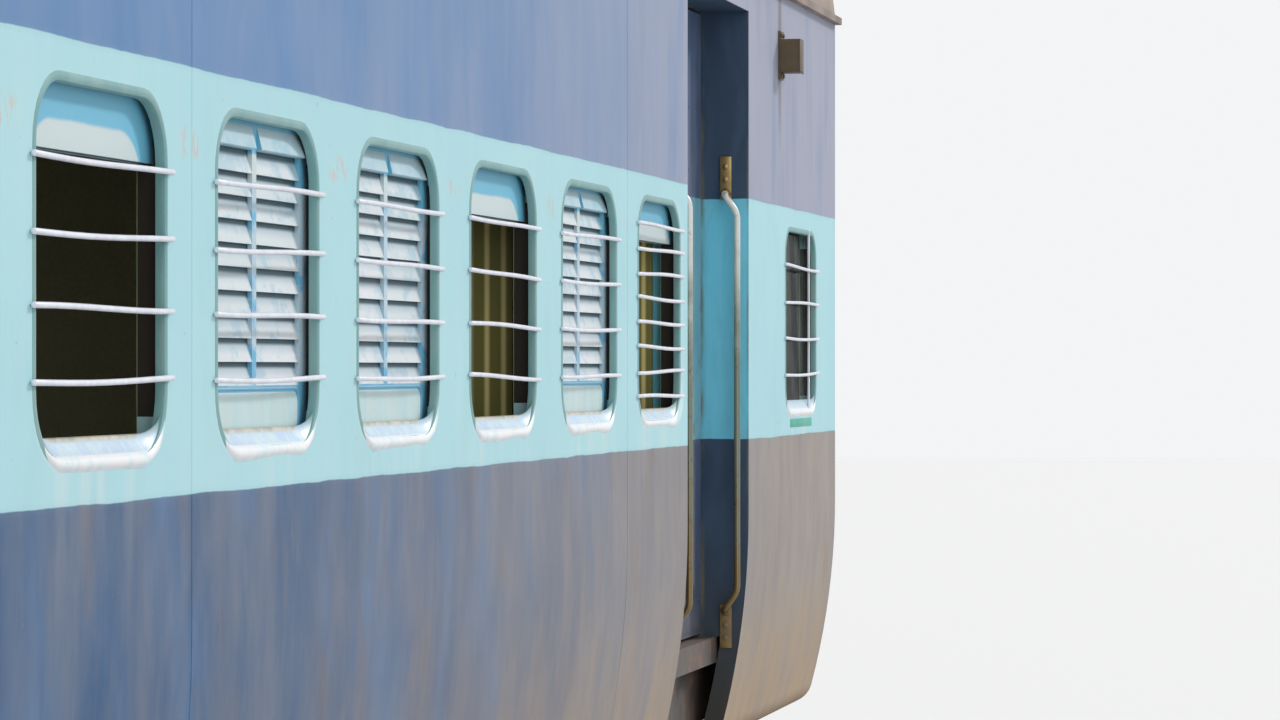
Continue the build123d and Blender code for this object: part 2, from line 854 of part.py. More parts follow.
def door_leaf_at(end, side):
    """One door leaf: window opening with bars, pressed panel, hinge barrel and handle."""
    with BuildPart() as leaf:
        leaf_y = (leaf_inner_y, leaf_outer_y)
        block((leaf_start_x, leaf_end_x), leaf_y, (leaf_foot_z, leaf_head_z))
        with BuildSketch(Plane.XZ.offset(-(leaf_outer_y + 1))) as opening:
            with Locations((leaf_mid_x, door_window_mid_z)):
                Polygon(*rounded(door_window_width, door_window_height, door_window_corner))
        extrude(opening.sketch, amount=door_thickness + 2, mode=Mode.SUBTRACT)
        panel_x = (leaf_mid_x - door_panel_width / 2, leaf_mid_x + door_panel_width / 2)
        panel_y = (leaf_outer_y - door_panel_depth, leaf_outer_y + 1)
        panel_z = (leaf_foot_z + door_panel_foot, leaf_foot_z + door_panel_foot + door_panel_height)
        block(panel_x, panel_y, panel_z, mode=Mode.SUBTRACT)
        bar_depth = (leaf_outer_y - door_bar_size * 2, leaf_outer_y - door_bar_size)
        for row in range(door_bar_count):
            z = door_window_mid_z + (row - (door_bar_count - 1) / 2) * door_bar_pitch
            bar_x = (leaf_mid_x - door_window_width / 2 - 1, leaf_mid_x + door_window_width / 2 + 1)
            block(bar_x, bar_depth, (z - door_bar_size / 2, z + door_bar_size / 2))
        handle_x = leaf_start_x + handle_from_edge
        handle_z = (leaf_foot_z + handle_height, leaf_foot_z + handle_height + handle_width)
        handle_y = (leaf_outer_y, leaf_outer_y + handle_depth)
        block((handle_x, handle_x + handle_length), handle_y, handle_z)
        barrel_foot_z = floor_z + seat_gap
        barrel_length = leaf_head_z - barrel_foot_z
        drum((hinge_x, hinge_y, barrel_foot_z), (0, 0, 1), barrel_length, hinge_radius)
        strap_x = (hinge_x - hinge_strap_width, hinge_x)
        strap_y = (hinge_y, leaf_inner_y)
        block(strap_x, strap_y, (leaf_foot_z, leaf_head_z))
    piece = leaf.part
    if side < 0:
        piece = piece.mirror(Plane.XZ)
    if end < 0:
        piece = piece.mirror(Plane.YZ)
    return piece


for end in ENDS:
    for side in SIDES:
        with BuildPart() as door_leaf:
            add(door_leaf_at(end, side))
        keep(f"door_{end_names[end]}_{side_names[side]}", door_leaf)

# Handrails in the recesses, standing off the jambs
with BuildPart() as door_handrails:
    for jamb_x, inward in ((doorway_outer_x, -1), (doorway_inner_x, 1)):
        rail_x = jamb_x + inward * handrail_stand_off
        root_y = half_width - handrail_root_inset
        rail_y = half_width - handrail_inset
        top_z = up(handrail_top_height)
        foot_z = up(handrail_bottom_height)
        route = [
            (jamb_x + inward * seat_gap, root_y, top_z),
            (rail_x, root_y, top_z),
            (rail_x, rail_y, top_z - handrail_bend),
            (rail_x, rail_y, foot_z + handrail_bend),
            (rail_x, root_y, foot_z),
            (jamb_x + inward * seat_gap, root_y, foot_z),
        ]
        with BuildLine(mode=Mode.PRIVATE) as path:
            Polyline(*route)
        with BuildSketch(Plane(origin=route[0], z_dir=(inward, 0, 0)), mode=Mode.PRIVATE) as section:
            RegularPolygon(rail_bar_radius, 6)
        sweep(section.sketch, path=path.line, transition=Transition.RIGHT)
    four_corners()
keep("door_handrails", door_handrails)

# Footsteps: three treads between two hangers under each doorway
doorway_mid_x = (doorway_outer_x + doorway_inner_x) / 2
with BuildPart() as footsteps:
    step_x = (doorway_mid_x - step_width / 2, doorway_mid_x + step_width / 2)
    for height in step_heights:
        block(step_x, (step_inner_y, step_outer_y), (up(height) - step_thickness, up(height)))
    for x in (step_x[0] - step_hanger_thickness - seat_gap, step_x[1] + seat_gap):
        hanger_y = (step_inner_y, solebar_outer_y)
        hanger_z = (up(min(step_heights)) - step_thickness, solebar_bottom_z)
        block((x, x + step_hanger_thickness), hanger_y, hanger_z)
    four_corners()
keep("footsteps", footsteps)

# Rain gutters along both sides
with BuildPart() as rain_gutters:
    root_y = half_width + seat_gap
    channel = [
        (root_y, gutter_z - gutter_size / 2),
        (root_y + gutter_size, gutter_z - gutter_size / 2),
        (root_y + gutter_size, gutter_z + gutter_size / 2),
        (root_y + gutter_size - gutter_sheet, gutter_z + gutter_size / 2),
        (root_y + gutter_size - gutter_sheet, gutter_z - gutter_size / 2 + gutter_sheet),
        (root_y, gutter_z - gutter_size / 2 + gutter_sheet),
    ]
    extrude(flat_outline(Plane.YZ.offset(-half_length), channel), amount=body_length)
    mirror(about=Plane.XZ)
keep("rain_gutters", rain_gutters)

# Roof ventilators in two rows, streamlined hoods on a low neck
ventilator_foot_z = roof_z(ventilator_y + ventilator_width / 2)
ventilator_top_z = roof_z(ventilator_y) + ventilator_rise
with BuildPart() as ventilator:
    hood = [
        (-ventilator_length / 2, ventilator_foot_z + seat_gap),
        (ventilator_length / 2, ventilator_foot_z + seat_gap),
        (ventilator_length / 2, ventilator_foot_z + ventilator_edge_rise),
        (ventilator_length / 2 - ventilator_slope, ventilator_top_z),
        (-ventilator_length / 2 + ventilator_slope, ventilator_top_z),
        (-ventilator_length / 2, ventilator_foot_z + ventilator_edge_rise),
    ]
    extrude(flat_outline(Plane.XZ.offset(-ventilator_y), hood), amount=ventilator_width / 2, both=True)
    roof_skin = shell_section(-ventilator_length, -seat_gap, gutter_z)
    extrude(roof_skin, amount=2 * ventilator_length, mode=Mode.SUBTRACT)
with BuildPart() as roof_ventilators:
    rows_x = [(number - (ventilator_count - 1) / 2) * bay_length for number in range(ventilator_count)]
    with Locations(*[(x, 0, 0) for x in rows_x]):
        add(ventilator.part)
    mirror(about=Plane.XZ)
keep("roof_ventilators", roof_ventilators)

# Lamp brackets between each doorway and the coach end
with BuildPart() as lamp_brackets:
    bracket_x = half_length - lamp_bracket_from_end
    plate_z = up(lamp_bracket_height)
    plate_y = (half_width + seat_gap, half_width + seat_gap + lamp_plate_thickness)
    with Locations((bracket_x, (plate_y[0] + plate_y[1]) / 2, plate_z)):
        Box(lamp_plate_width, lamp_plate_thickness, lamp_plate_length)
    socket_y = (plate_y[1], plate_y[1] + lamp_socket_depth)
    socket_x = (bracket_x - lamp_socket_width / 2, bracket_x + lamp_socket_width / 2)
    block(socket_x, socket_y, (plate_z - lamp_socket_length / 2, plate_z + lamp_socket_length / 2))
    four_corners()
keep("lamp_brackets", lamp_brackets)

# Blank route boards at mid length, the box over them and the brackets beside them
with BuildPart() as route_boards:
    for x, z, width, height, depth in board_table:
        with Locations((x, half_width + seat_gap + depth / 2, up(z))):
            Box(width, depth, height)
    mirror(about=Plane.XZ)
keep("route_boards", route_boards)

# Gangway bellows: folds of one rectangular sleeve at each end
faceplate_face_x = buffer_face_x - faceplate_setback
faceplate_back_x = faceplate_face_x - faceplate_thickness
gangway_foot_z = floor_z - gangway_foot_drop
gangway_mid_z = (gangway_foot_z + up(bellows_top_height)) / 2
bellows_tall = up(bellows_top_height) - gangway_foot_z
with BuildPart() as gangway_bellows:
    fold_length = (faceplate_back_x - half_length) / (2 * bellows_folds)
    folds = [
        (half_length + number * fold_length, fold_depth if number % 2 == 0 else 0)
        for number in range(2 * bellows_folds + 1)
    ]
    plan = [(x, bellows_width / 2 - depth) for x, depth in folds]
    plan += [(x, -y) for x, y in reversed(plan)]
    extrude(flat_outline(Plane.XY.offset(gangway_foot_z), plan), amount=bellows_tall)
    upper = [(x, gangway_mid_z + bellows_tall / 2 - depth) for x, depth in folds]
    lower = [(x, gangway_mid_z - bellows_tall / 2 + depth) for x, depth in reversed(folds)]
    extrude(flat_outline(Plane.XZ, upper + lower), amount=bellows_width, both=True, mode=Mode.INTERSECT)
    passage_half = bellows_width / 2 - fold_depth - bellows_wall
    passage_tall = bellows_tall / 2 - fold_depth - bellows_wall
    passage_x = (half_length - 1, faceplate_back_x + 1)
    passage_z = (gangway_mid_z - passage_tall, gangway_mid_z + passage_tall)
    block(passage_x, (-passage_half, passage_half), passage_z, mode=Mode.SUBTRACT)
    mirror(about=Plane.YZ)
keep("gangway_bellows", gangway_bellows)

# Faceplates of the gangways, each with its fall plate
with BuildPart() as gangway_faceplates:
    with BuildSketch(Plane.YZ.offset(faceplate_back_x)) as plate:
        with Locations((0, gangway_mid_z)):
            Rectangle(bellows_width, bellows_tall)
        with Locations((0, (floor_z + up(gangway_top_height)) / 2)):
            Rectangle(gangway_width, up(gangway_top_height) - floor_z, mode=Mode.SUBTRACT)
    extrude(plate.sketch, amount=faceplate_thickness)
    fall_x = (half_length + seat_gap, faceplate_back_x + 1)
    fall_y = (-gangway_width / 2, gangway_width / 2)
    block(fall_x, fall_y, (floor_z - fall_plate_thickness, floor_z))
    mirror(about=Plane.YZ)
keep("gangway_faceplates", gangway_faceplates)

# Buffers: casings on the headstocks, heads on sliding stems
buffer_z = up(buffer_height)
buffer_y = buffer_spacing / 2
casing_end = buffer_flange_thickness + buffer_casing_length
with BuildPart() as buffer_casings:
    flange_mid_x = half_length + buffer_flange_thickness / 2
    with Locations((flange_mid_x, buffer_y, buffer_z)):
        Box(buffer_flange_thickness, buffer_flange_size, headstock_depth)
    casing = [
        (0, buffer_casing_radius + buffer_casing_flare),
        (buffer_flare_length, buffer_casing_radius),
        (casing_end, buffer_casing_radius),
    ]
    bore = [(-1, buffer_stem_radius + seat_gap), (casing_end + 1, buffer_stem_radius + seat_gap)]
    many_sided((half_length, buffer_y, buffer_z), (1, 0, 0), casing, buffer_sides)
    many_sided((half_length, buffer_y, buffer_z), (1, 0, 0), bore, buffer_sides, Mode.SUBTRACT)
    four_corners()
keep("buffer_casings", buffer_casings)
with BuildPart() as buffer_heads:
    head_back = buffer_projection - buffer_head_edge - buffer_head_crown
    crown_start = head_back + buffer_head_edge
    stem = [(seat_gap, buffer_stem_radius), (head_back, buffer_stem_radius)]
    head = [(head_back, buffer_head_radius), (crown_start, buffer_head_radius)]
    for rise, width in buffer_face_table:
        head.append((crown_start + buffer_head_crown * rise, buffer_head_radius * width))
    many_sided((half_length, buffer_y, buffer_z), (1, 0, 0), stem, buffer_sides)
    many_sided((half_length, buffer_y, buffer_z), (1, 0, 0), head, buffer_sides)
    four_corners()
keep("buffer_heads", buffer_heads)

# Draw gear: a hook with a screw coupling that hangs from it
with BuildPart() as draw_gear:
    hook = [(half_length + along * draw_hook_reach, buffer_z + rise) for along, rise in hook_table]
    extrude(flat_outline(Plane.XZ, hook), amount=draw_hook_thickness / 2, both=True)
    link_x = half_length + draw_hook_reach * link_share
    for y in (-link_spread, link_spread):
        link_y = (y - link_bar_radius, y + link_bar_radius)
        link_z = (buffer_z - link_drop, buffer_z + link_bar_radius)
        block((link_x - link_bar_radius, link_x + link_bar_radius), link_y, link_z)
    for share in link_pin_shares:
        drop = link_drop * share
        cross_z = (buffer_z - drop - link_bar_radius, buffer_z - drop + link_bar_radius)
        cross_y = (-link_spread - link_bar_radius, link_spread + link_bar_radius)
        block((link_x - link_bar_radius, link_x + link_bar_radius), cross_y, cross_z)
    mirror(about=Plane.YZ)
keep("draw_gear", draw_gear)

# Battery boxes hung from the solebars at mid length
with BuildPart() as battery_boxes:
    box_face_y = solebar_outer_y - battery_lid_depth - battery_box_inset
    box_y = (box_face_y - battery_box_depth, box_face_y)
    box_z = (solebar_bottom_z - seat_gap - battery_box_height, solebar_bottom_z - seat_gap)
    for x in (-battery_box_x, battery_box_x):
        block((x - battery_box_length / 2, x + battery_box_length / 2), box_y, box_z)
        lid_x = (x - battery_box_length / 2 + battery_lid_margin, x + battery_box_length / 2 - battery_lid_margin)
        lid_z = (box_z[0] + battery_lid_margin, box_z[1] - battery_lid_margin)
        block(lid_x, (box_face_y - 1, box_face_y + battery_lid_depth), lid_z)
    mirror(about=Plane.XZ)
keep("battery_boxes", battery_boxes)

# Air reservoirs and brake cylinders in straps under the cross bearers


def tank_straps(x, length):
    """The bearers over a tank, where its straps hang."""
    return [place for place in bearer_places if abs(place - x) < (length - strap_width) / 2]


with BuildPart() as brake_equipment:
    for x, y, radius, length in tank_table:
        tank_z = bearer_bottom_z - strap_drop - radius
        dish = radius * tank_dish_share
        end_radius = radius * tank_end_share
        shell = [(0, end_radius), (dish, radius), (length - dish, radius), (length, end_radius)]
        many_sided((x - length / 2, y, tank_z), (1, 0, 0), shell, round_sides)
        band = [(-strap_width / 2, radius + strap_thickness), (strap_width / 2, radius + strap_thickness)]
        for strap_x in tank_straps(x, length):
            many_sided((strap_x, y, tank_z), (1, 0, 0), band, round_sides)
            leg_x = (strap_x - strap_width / 2, strap_x + strap_width / 2)
            for side in SIDES:
                leg_y = (y + side * radius, y + side * (radius + strap_thickness))
                block(leg_x, leg_y, (tank_z, bearer_bottom_z - seat_gap))
keep("brake_equipment", brake_equipment)

# Lavatory chutes under the floor
with BuildPart() as lavatory_chutes:
    chute_foot = (half_length - chute_from_end, chute_y, up(chute_bottom_height))
    chute_length = floor_bottom_z - seat_gap - up(chute_bottom_height)
    pipe = [(0, chute_radius), (chute_length, chute_radius)]
    mouth = [(-1, chute_radius - chute_wall), (chute_bore_depth, chute_radius - chute_wall)]
    many_sided(chute_foot, (0, 0, 1), pipe, round_sides)
    many_sided(chute_foot, (0, 0, 1), mouth, round_sides, Mode.SUBTRACT)
    four_corners()
keep("lavatory_chutes", lavatory_chutes)

# Inside: saloon end partitions with a doorway to the aisle, and lavatory walls
inner_y = skin_y(floor_z, wall_thickness + seat_gap)
partition_z = (floor_z, up(partition_top_height))
with BuildPart() as vestibule_partitions:
    for end in ENDS:
        face = (end * end_partition_x - partition_thickness / 2, end * end_partition_x + partition_thickness / 2)
        block(face, (-inner_y, inner_y), partition_z)
        opening_z = (floor_z - 1, floor_z + inner_door_height)
        block((face[0] - 1, face[1] + 1), (aisle_outer_y, aisle_inner_y), opening_z, mode=Mode.SUBTRACT)
keep("vestibule_partitions", vestibule_partitions)
with BuildPart() as lavatory_walls:
    inner_end_x = half_length - wall_thickness - seat_gap
    block((lavatory_wall_x, lavatory_wall_x + partition_thickness), (corridor_y, inner_y), partition_z)
    corridor_wall = (corridor_y, corridor_y + partition_thickness)
    block((lavatory_wall_x, inner_end_x), corridor_wall, partition_z)
    four_corners()
keep("lavatory_walls", lavatory_walls)

# Bay partitions, each with the berths that it carries on both faces
berth_end_y = half_width - wall_thickness - sash_thickness - berth_wall_gap
bay_faces = [(end * end_partition_x, -end) for end in ENDS]
middle_partitions = [(number - (bay_count - 2) / 2) * bay_length for number in range(bay_count - 1)]
bay_faces += [(x, facing) for x in middle_partitions for facing in (-1, 1)]
with BuildPart() as bay_partitions:
    for x in middle_partitions:
        face = (x - partition_thickness / 2, x + partition_thickness / 2)
        block(face, (aisle_inner_y, inner_y), partition_z)
        block(face, (-inner_y, aisle_outer_y), partition_z)
keep("bay_partitions", bay_partitions)
with BuildPart() as berth_frames:
    for x, facing in bay_faces:
        near = x + facing * (partition_thickness / 2 + seat_gap)
        for height in (seat_height, upper_berth_height):
            frame_z = (floor_z + height - berth_thickness, floor_z + height)
            block((near, near + facing * berth_width), (aisle_inner_y, berth_end_y), frame_z)
    for bay in range(bay_count):
        left = (bay - bay_count / 2) * bay_length
        start = max(left, -end_partition_x) + partition_thickness / 2 + seat_gap
        end_x = min(left + bay_length, end_partition_x) - partition_thickness / 2 - seat_gap
        for height in (seat_height, side_upper_height):
            frame_z = (floor_z + height - berth_thickness, floor_z + height)
            block((start, end_x), (-berth_end_y, aisle_outer_y), frame_z)
keep("berth_frames", berth_frames)
with BuildPart() as berth_pads:
    for x, facing in bay_faces:
        near = x + facing * (partition_thickness / 2 + seat_gap)
        pad_y = (aisle_inner_y + pad_margin, berth_end_y - pad_margin)
        for height in (seat_height, upper_berth_height):
            pad_z = (floor_z + height + seat_gap, floor_z + height + seat_gap + pad_thickness)
            block((near + facing * back_thickness, near + facing * (berth_width - pad_margin)), pad_y, pad_z)
        back_z = (floor_z + seat_height + pad_thickness + back_gap, floor_z + back_top_height)
        block((near, near + facing * (back_thickness - back_seat_gap)), pad_y, back_z)
    for bay in range(bay_count):
        left = (bay - bay_count / 2) * bay_length
        start = max(left, -end_partition_x) + partition_thickness / 2 + pad_margin
        end_x = min(left + bay_length, end_partition_x) - partition_thickness / 2 - pad_margin
        pad_y = (-berth_end_y + pad_margin, aisle_outer_y - pad_margin)
        for height in (seat_height, side_upper_height):
            pad_z = (floor_z + height + seat_gap, floor_z + height + seat_gap + pad_thickness)
            block((start, end_x), pad_y, pad_z)
keep("berth_pads", berth_pads)

# Bogies: frame, bolster, axle boxes, springs and brake gear, all about the pivot
beam_y = side_beam_y
beam_z = (up(side_beam_bottom), up(side_beam_top))
bolster_bottom_z = up(bolster_end_bottom)
plank_top_z = up(plank_bottom + plank_thickness)
wing_top_z = up(wing_bottom + wing_thickness)
half_base = bogie_wheelbase / 2


def bogie_frame():
    """Two side beams joined by transoms and headstocks, with the hanger brackets."""
    with BuildPart() as frame:
        frame_half = bogie_frame_length / 2
        beam = (beam_y - side_beam_width / 2, beam_y + side_beam_width / 2)
        for side in SIDES:
            block((-frame_half, frame_half), (side * beam[0], side * beam[1]), beam_z)
        inner = beam_y - side_beam_width / 2 + 1
        for end in ENDS:
            transom = (end * (transom_x - transom_width / 2), end * (transom_x + transom_width / 2))
            block(transom, (-inner, inner), beam_z)
            stock = (end * (frame_half - bogie_headstock_width), end * frame_half)
            block(stock, (-inner, inner), (beam_z[0] + headstock_lift, beam_z[1]))
    return frame.part


def bogie_bolster():
    """The bolster with its pivot bore and side bearers, and the spring plank on its hangers."""
    with BuildPart() as bolster:
        rise = side_beam_y - side_beam_width / 2 - beam_side_gap
        shape = [
            (-bolster_reach, bolster_bottom_z),
            (bolster_reach, bolster_bottom_z),
            (bolster_reach, up(bolster_end_top)),
            (rise, up(bolster_end_top)),
            (rise, up(bolster_top)),
            (-rise, up(bolster_top)),
            (-rise, up(bolster_end_top)),
            (-bolster_reach, up(bolster_end_top)),
        ]
        extrude(flat_outline(Plane.YZ.offset(-bolster_width / 2), shape), amount=bolster_width)
        bore_z = up(bolster_top) - pivot_pin_depth - pivot_bore_extra
        bore_radius = pivot_radius + pivot_clearance
        drum((0, 0, bore_z), (0, 0, 1), pivot_pin_depth + pivot_bore_extra + 1, bore_radius, Mode.SUBTRACT)
        for side in SIDES:
            bearer_y = (side * (side_bearer_y - side_bearer_size / 2), side * (side_bearer_y + side_bearer_size / 2))
            bearer_z = (up(bolster_top) - 1, solebar_bottom_z - slide_gap)
            block((-side_bearer_size / 2, side_bearer_size / 2), bearer_y, bearer_z)
    return bolster.part


def spring_plank():
    """The lower spring beam with four hangers up to the side beams."""
    with BuildPart() as plank:
        block((-plank_width / 2, plank_width / 2), (-plank_reach, plank_reach), (up(plank_bottom), plank_top_z))
        for end in ENDS:
            for side in SIDES:
                hanger_y = side_beam_y + side_beam_width / 2 + seat_gap
                y_range = (side * hanger_y, side * (hanger_y + hanger_size))
                x_range = (end * hanger_x, end * (hanger_x + hanger_size))
                block(x_range, y_range, (up(plank_bottom), up(side_beam_bottom) + hanger_lap))
                foot_x = (end * (plank_width / 2 - 1), end * (hanger_x + 1))
                block(foot_x, y_range, (up(plank_bottom), plank_top_z))
    return plank.part


def spring_set():
    """Primary springs on the axle box wings and secondary springs on the plank."""
    with BuildPart() as springs:
        primary_length = up(side_beam_bottom) - wing_top_z - 2 * seat_gap
        secondary_length = bolster_bottom_z - plank_top_z - 2 * seat_gap
        primary = [
            (end * half_base + shift * primary_spring_x, side * side_beam_y)
            for end in ENDS for side in SIDES for shift in (-1, 1)
        ]
        secondary = [
            (shift * secondary_spring_x, side * secondary_spring_y)
            for side in SIDES for shift in (-1, 1)
        ]
        with BuildSketch(Plane.XY.offset(wing_top_z + seat_gap)) as primary_coils:
            with Locations(*primary):
                RegularPolygon(primary_spring_radius, spring_sides)
        extrude(primary_coils.sketch, amount=primary_length)
        with BuildSketch(Plane.XY.offset(plank_top_z + seat_gap)) as secondary_coils:
            with Locations(*secondary):
                RegularPolygon(secondary_spring_radius, spring_sides)
        extrude(secondary_coils.sketch, amount=secondary_length)
    return springs.part


def axle_boxes():
    """Four axle boxes round the journals, each with two spring wings."""
    with BuildPart() as boxes:
        origin = (half_base, 0, axle_z)
        cover_end_y = axle_box_outer_y + axle_cover_thickness
        housing = [(axle_box_inner_y, axle_box_radius), (axle_box_outer_y, axle_box_radius)]
        cover = [(axle_box_outer_y, axle_cover_radius), (cover_end_y, axle_cover_radius)]
        many_sided(origin, (0, 1, 0), housing, round_sides)
        many_sided(origin, (0, 1, 0), cover, round_sides)
        bore_start = axle_box_inner_y - 1
        bore_length = axle_length / 2 + axle_end_gap - bore_start
        bore_radius = journal_radius + journal_clearance
        drum((half_base, bore_start, axle_z), (0, 1, 0), bore_length, bore_radius, Mode.SUBTRACT)
        wing_reach = primary_spring_x + primary_spring_radius + wing_margin
        wing_y = (side_beam_y - primary_spring_radius, side_beam_y + primary_spring_radius)
        wing_z = (up(wing_bottom), wing_top_z)
        block((half_base - wing_reach, half_base + wing_reach), wing_y, wing_z)
        mirror(about=Plane.XZ)
        mirror(about=Plane.YZ)
    return boxes.part


def brake_gear():
    """Brake blocks on both sides of each wheel, their hangers and cross beams."""
    block_y = (wheel_back_to_back + wheel_rim_width) / 2
    beam_range = (axle_z - brake_beam_size / 2, axle_z + brake_beam_size / 2)
    hanger_top = beam_z[0] + headstock_lift - seat_gap
    arm_end = side_beam_y - side_beam_width / 2 - seat_gap
    with BuildPart() as gear:
        for wheel_end in ENDS:
            for facing in ENDS:
                back = wheel_end * half_base + facing * (brake_block_radius + brake_block_width)
                face = wheel_end * half_base + facing * brake_block_radius
                beam_x = (back, back + facing * brake_beam_size)
                hanger = (back, back + facing * brake_hanger_size)
                beam_half = block_y + brake_shoe_length / 2
                block(beam_x, (-beam_half, beam_half), beam_range)
                for side in SIDES:
                    shoe_y = (side * block_y - brake_shoe_length / 2, side * block_y + brake_shoe_length / 2)
                    shoe_z = (axle_z - brake_shoe_height / 2, axle_z + brake_shoe_height / 2)
                    block((face, back - facing * seat_gap), shoe_y, shoe_z)
                    outer_y = block_y + brake_hanger_size / 2
                    hanger_y = (side * (outer_y - brake_hanger_size), side * outer_y)
                    block(hanger, hanger_y, (beam_range[1] + seat_gap, hanger_top))
                    arm_y = (side * (outer_y + seat_gap), side * arm_end)
                    block(hanger, arm_y, (hanger_top - brake_hanger_size, hanger_top))
    return gear.part


bogie_pieces = (
    ("frame", bogie_frame()),
    ("bolster", bogie_bolster()),
    ("spring_plank", spring_plank()),
    ("springs", spring_set()),
    ("axle_boxes", axle_boxes()),
    ("brake_gear", brake_gear()),
)
for end in ENDS:
    for piece_name, piece in bogie_pieces:
        with BuildPart() as bogie_piece:
            with Locations((end * bogie_x, 0, 0)):
                add(piece)
        keep(f"bogie_{end_names[end]}_{piece_name}", bogie_piece)

# Wheelsets: two wheels pressed on an axle with outside journals
wheel_inner_y = wheel_back_to_back / 2
wheel_outer_y = wheel_inner_y + wheel_rim_width
rim_radius = wheel_radius - wheel_rim_depth
hub_inner_y = wheel_inner_y - hub_overhang_inside
hub_outer_y = wheel_outer_y + hub_overhang_outside
tyre = [
    (wheel_inner_y, flange_radius - flange_round),
    (wheel_inner_y + flange_round, flange_radius),
    (wheel_inner_y + flange_thickness, wheel_radius + tread_rise),
    (wheel_outer_y, wheel_radius - tread_rise),
]
web_faces = (
    [(wheel_inner_y - 1, rim_radius), (wheel_inner_y + web_inset, rim_radius)],
    [(wheel_outer_y - web_inset, rim_radius), (wheel_outer_y + 1, rim_radius)],
)
hub = [(hub_inner_y, wheel_hub_radius), (hub_outer_y, wheel_hub_radius)]
hub_bore = [(hub_inner_y - 1, wheel_seat_radius), (hub_outer_y + 1, wheel_seat_radius)]
axle_seat = [(hub_inner_y - seat_shoulder, wheel_seat_radius), (hub_outer_y + seat_shoulder, wheel_seat_radius)]
axle_body = [(-hub_inner_y, axle_body_radius), (hub_inner_y, axle_body_radius)]
for end in ENDS:
    for place, name in ((1, "outer"), (-1, "inner")):
        x = end * (bogie_x + place * half_base)
        with BuildPart() as wheels:
            many_sided((x, 0, axle_z), (0, 1, 0), tyre, wheel_sides)
            for web_face in web_faces:
                many_sided((x, 0, axle_z), (0, 1, 0), web_face, wheel_sides, Mode.SUBTRACT)
            many_sided((x, 0, axle_z), (0, 1, 0), hub, hub_sides)
            many_sided((x, 0, axle_z), (0, 1, 0), hub_bore, hub_sides, Mode.SUBTRACT)
            mirror(about=Plane.XZ)
        keep(f"wheels_{end_names[end]}_{name}", wheels)
        with BuildPart() as axle:
            many_sided((x, 0, axle_z), (0, 1, 0), axle_body, hub_sides)
            for side in SIDES:
                many_sided((x, 0, axle_z), (0, side, 0), axle_seat, hub_sides)
            drum((x, -axle_length / 2, axle_z), (0, 1, 0), axle_length, journal_radius)
        keep(f"axle_{end_names[end]}_{name}", axle)
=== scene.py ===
"""Finish of a broad gauge sleeper coach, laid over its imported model.

Shapes are in metres in the model's own frame: X along the coach, Y across it and Z up, with the
photographed side at -Y. Heights in the settings are above the rail. Each piece is a grid of points
worked out from a formula and rides on the body that carries it.
"""

from math import cos, pi, radians, sin

import bmesh
import bpy
import numpy as np
from bpy.props import FloatProperty, FloatVectorProperty, PointerProperty
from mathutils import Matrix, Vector


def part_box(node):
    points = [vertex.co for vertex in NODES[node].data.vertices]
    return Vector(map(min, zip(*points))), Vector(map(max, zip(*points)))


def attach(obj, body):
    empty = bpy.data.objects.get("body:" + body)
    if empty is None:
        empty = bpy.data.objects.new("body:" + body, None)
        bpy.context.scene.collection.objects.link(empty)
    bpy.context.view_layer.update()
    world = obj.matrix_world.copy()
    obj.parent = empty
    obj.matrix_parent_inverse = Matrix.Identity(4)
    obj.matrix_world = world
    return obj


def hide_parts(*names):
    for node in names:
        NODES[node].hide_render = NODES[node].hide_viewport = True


bl_info = {
    "name": "Sleeper coach finish",
    "version": (1, 0, 0),
    "blender": (4, 5, 0),
    "location": "3D View > Sidebar > Coach",
    "description": "Paint, trim, springs and cushions of a broad gauge sleeper coach",
    "category": "Object",
}

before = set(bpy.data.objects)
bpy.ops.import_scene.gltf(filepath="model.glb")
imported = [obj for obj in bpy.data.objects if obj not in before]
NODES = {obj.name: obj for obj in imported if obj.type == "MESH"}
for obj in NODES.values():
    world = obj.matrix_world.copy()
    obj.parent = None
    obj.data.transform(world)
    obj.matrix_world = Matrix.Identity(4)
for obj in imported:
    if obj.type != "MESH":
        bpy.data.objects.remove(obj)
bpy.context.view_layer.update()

# Places that the model's own boxes give
SKIN_Y = max(abs(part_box("side_wall_right")[0].y), abs(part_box("side_wall_right")[1].y))
BODY_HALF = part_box("roof")[1].x
FLOOR_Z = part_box("trough_floor")[1].z
RAIL_Z = 0.0285
ENDS = (1, -1)
SIDES = (-1, 1)
HANDS = ((-1, "right"), (1, "left"))

# Windows, in metres
WINDOW_PITCH = 0.9
WINDOW_COUNT = 18
WINDOW_HALF = (0.31, 0.305)
WINDOW_CORNER = 0.11
DOOR_SIDE_HALF = (0.28, 0.305)
WINDOW_Z = RAIL_Z + 2.584 - 0.305
LAVATORY_X = BODY_HALF - 0.72
LAVATORY_HALF = (0.30, 0.30)
LAVATORY_CORNER = 0.09
BAR_LAP = 0.026
BRACKET_X = BODY_HALF - 1.13
SHUTTER_Y = SKIN_Y - 0.030

# The skin turns under below this height, round this radius
SKIN_TURN_Z = RAIL_Z + 1.66
SKIN_TURN_RADIUS = 2.6

# Camera at the photograph's place: metres, degrees and millimetres
CAMERA_PLACE = (-2.86, -3.81, 2.15)
CAMERA_TURN = 12.08
CAMERA_LIFT = 0.12
CAMERA_LENS = 108.5


def length(name, description, default):
    """A length among the settings, in metres."""
    return FloatProperty(name=name, description=description, default=default, unit="LENGTH")


def strength(name, description, default):
    """A lamp's strength among the settings."""
    return FloatProperty(name=name, description=description, default=default, min=0)


def shade(name, description, default):
    """A colour among the settings, in linear light."""
    return FloatVectorProperty(name=name, description=description, default=default, subtype="COLOR")


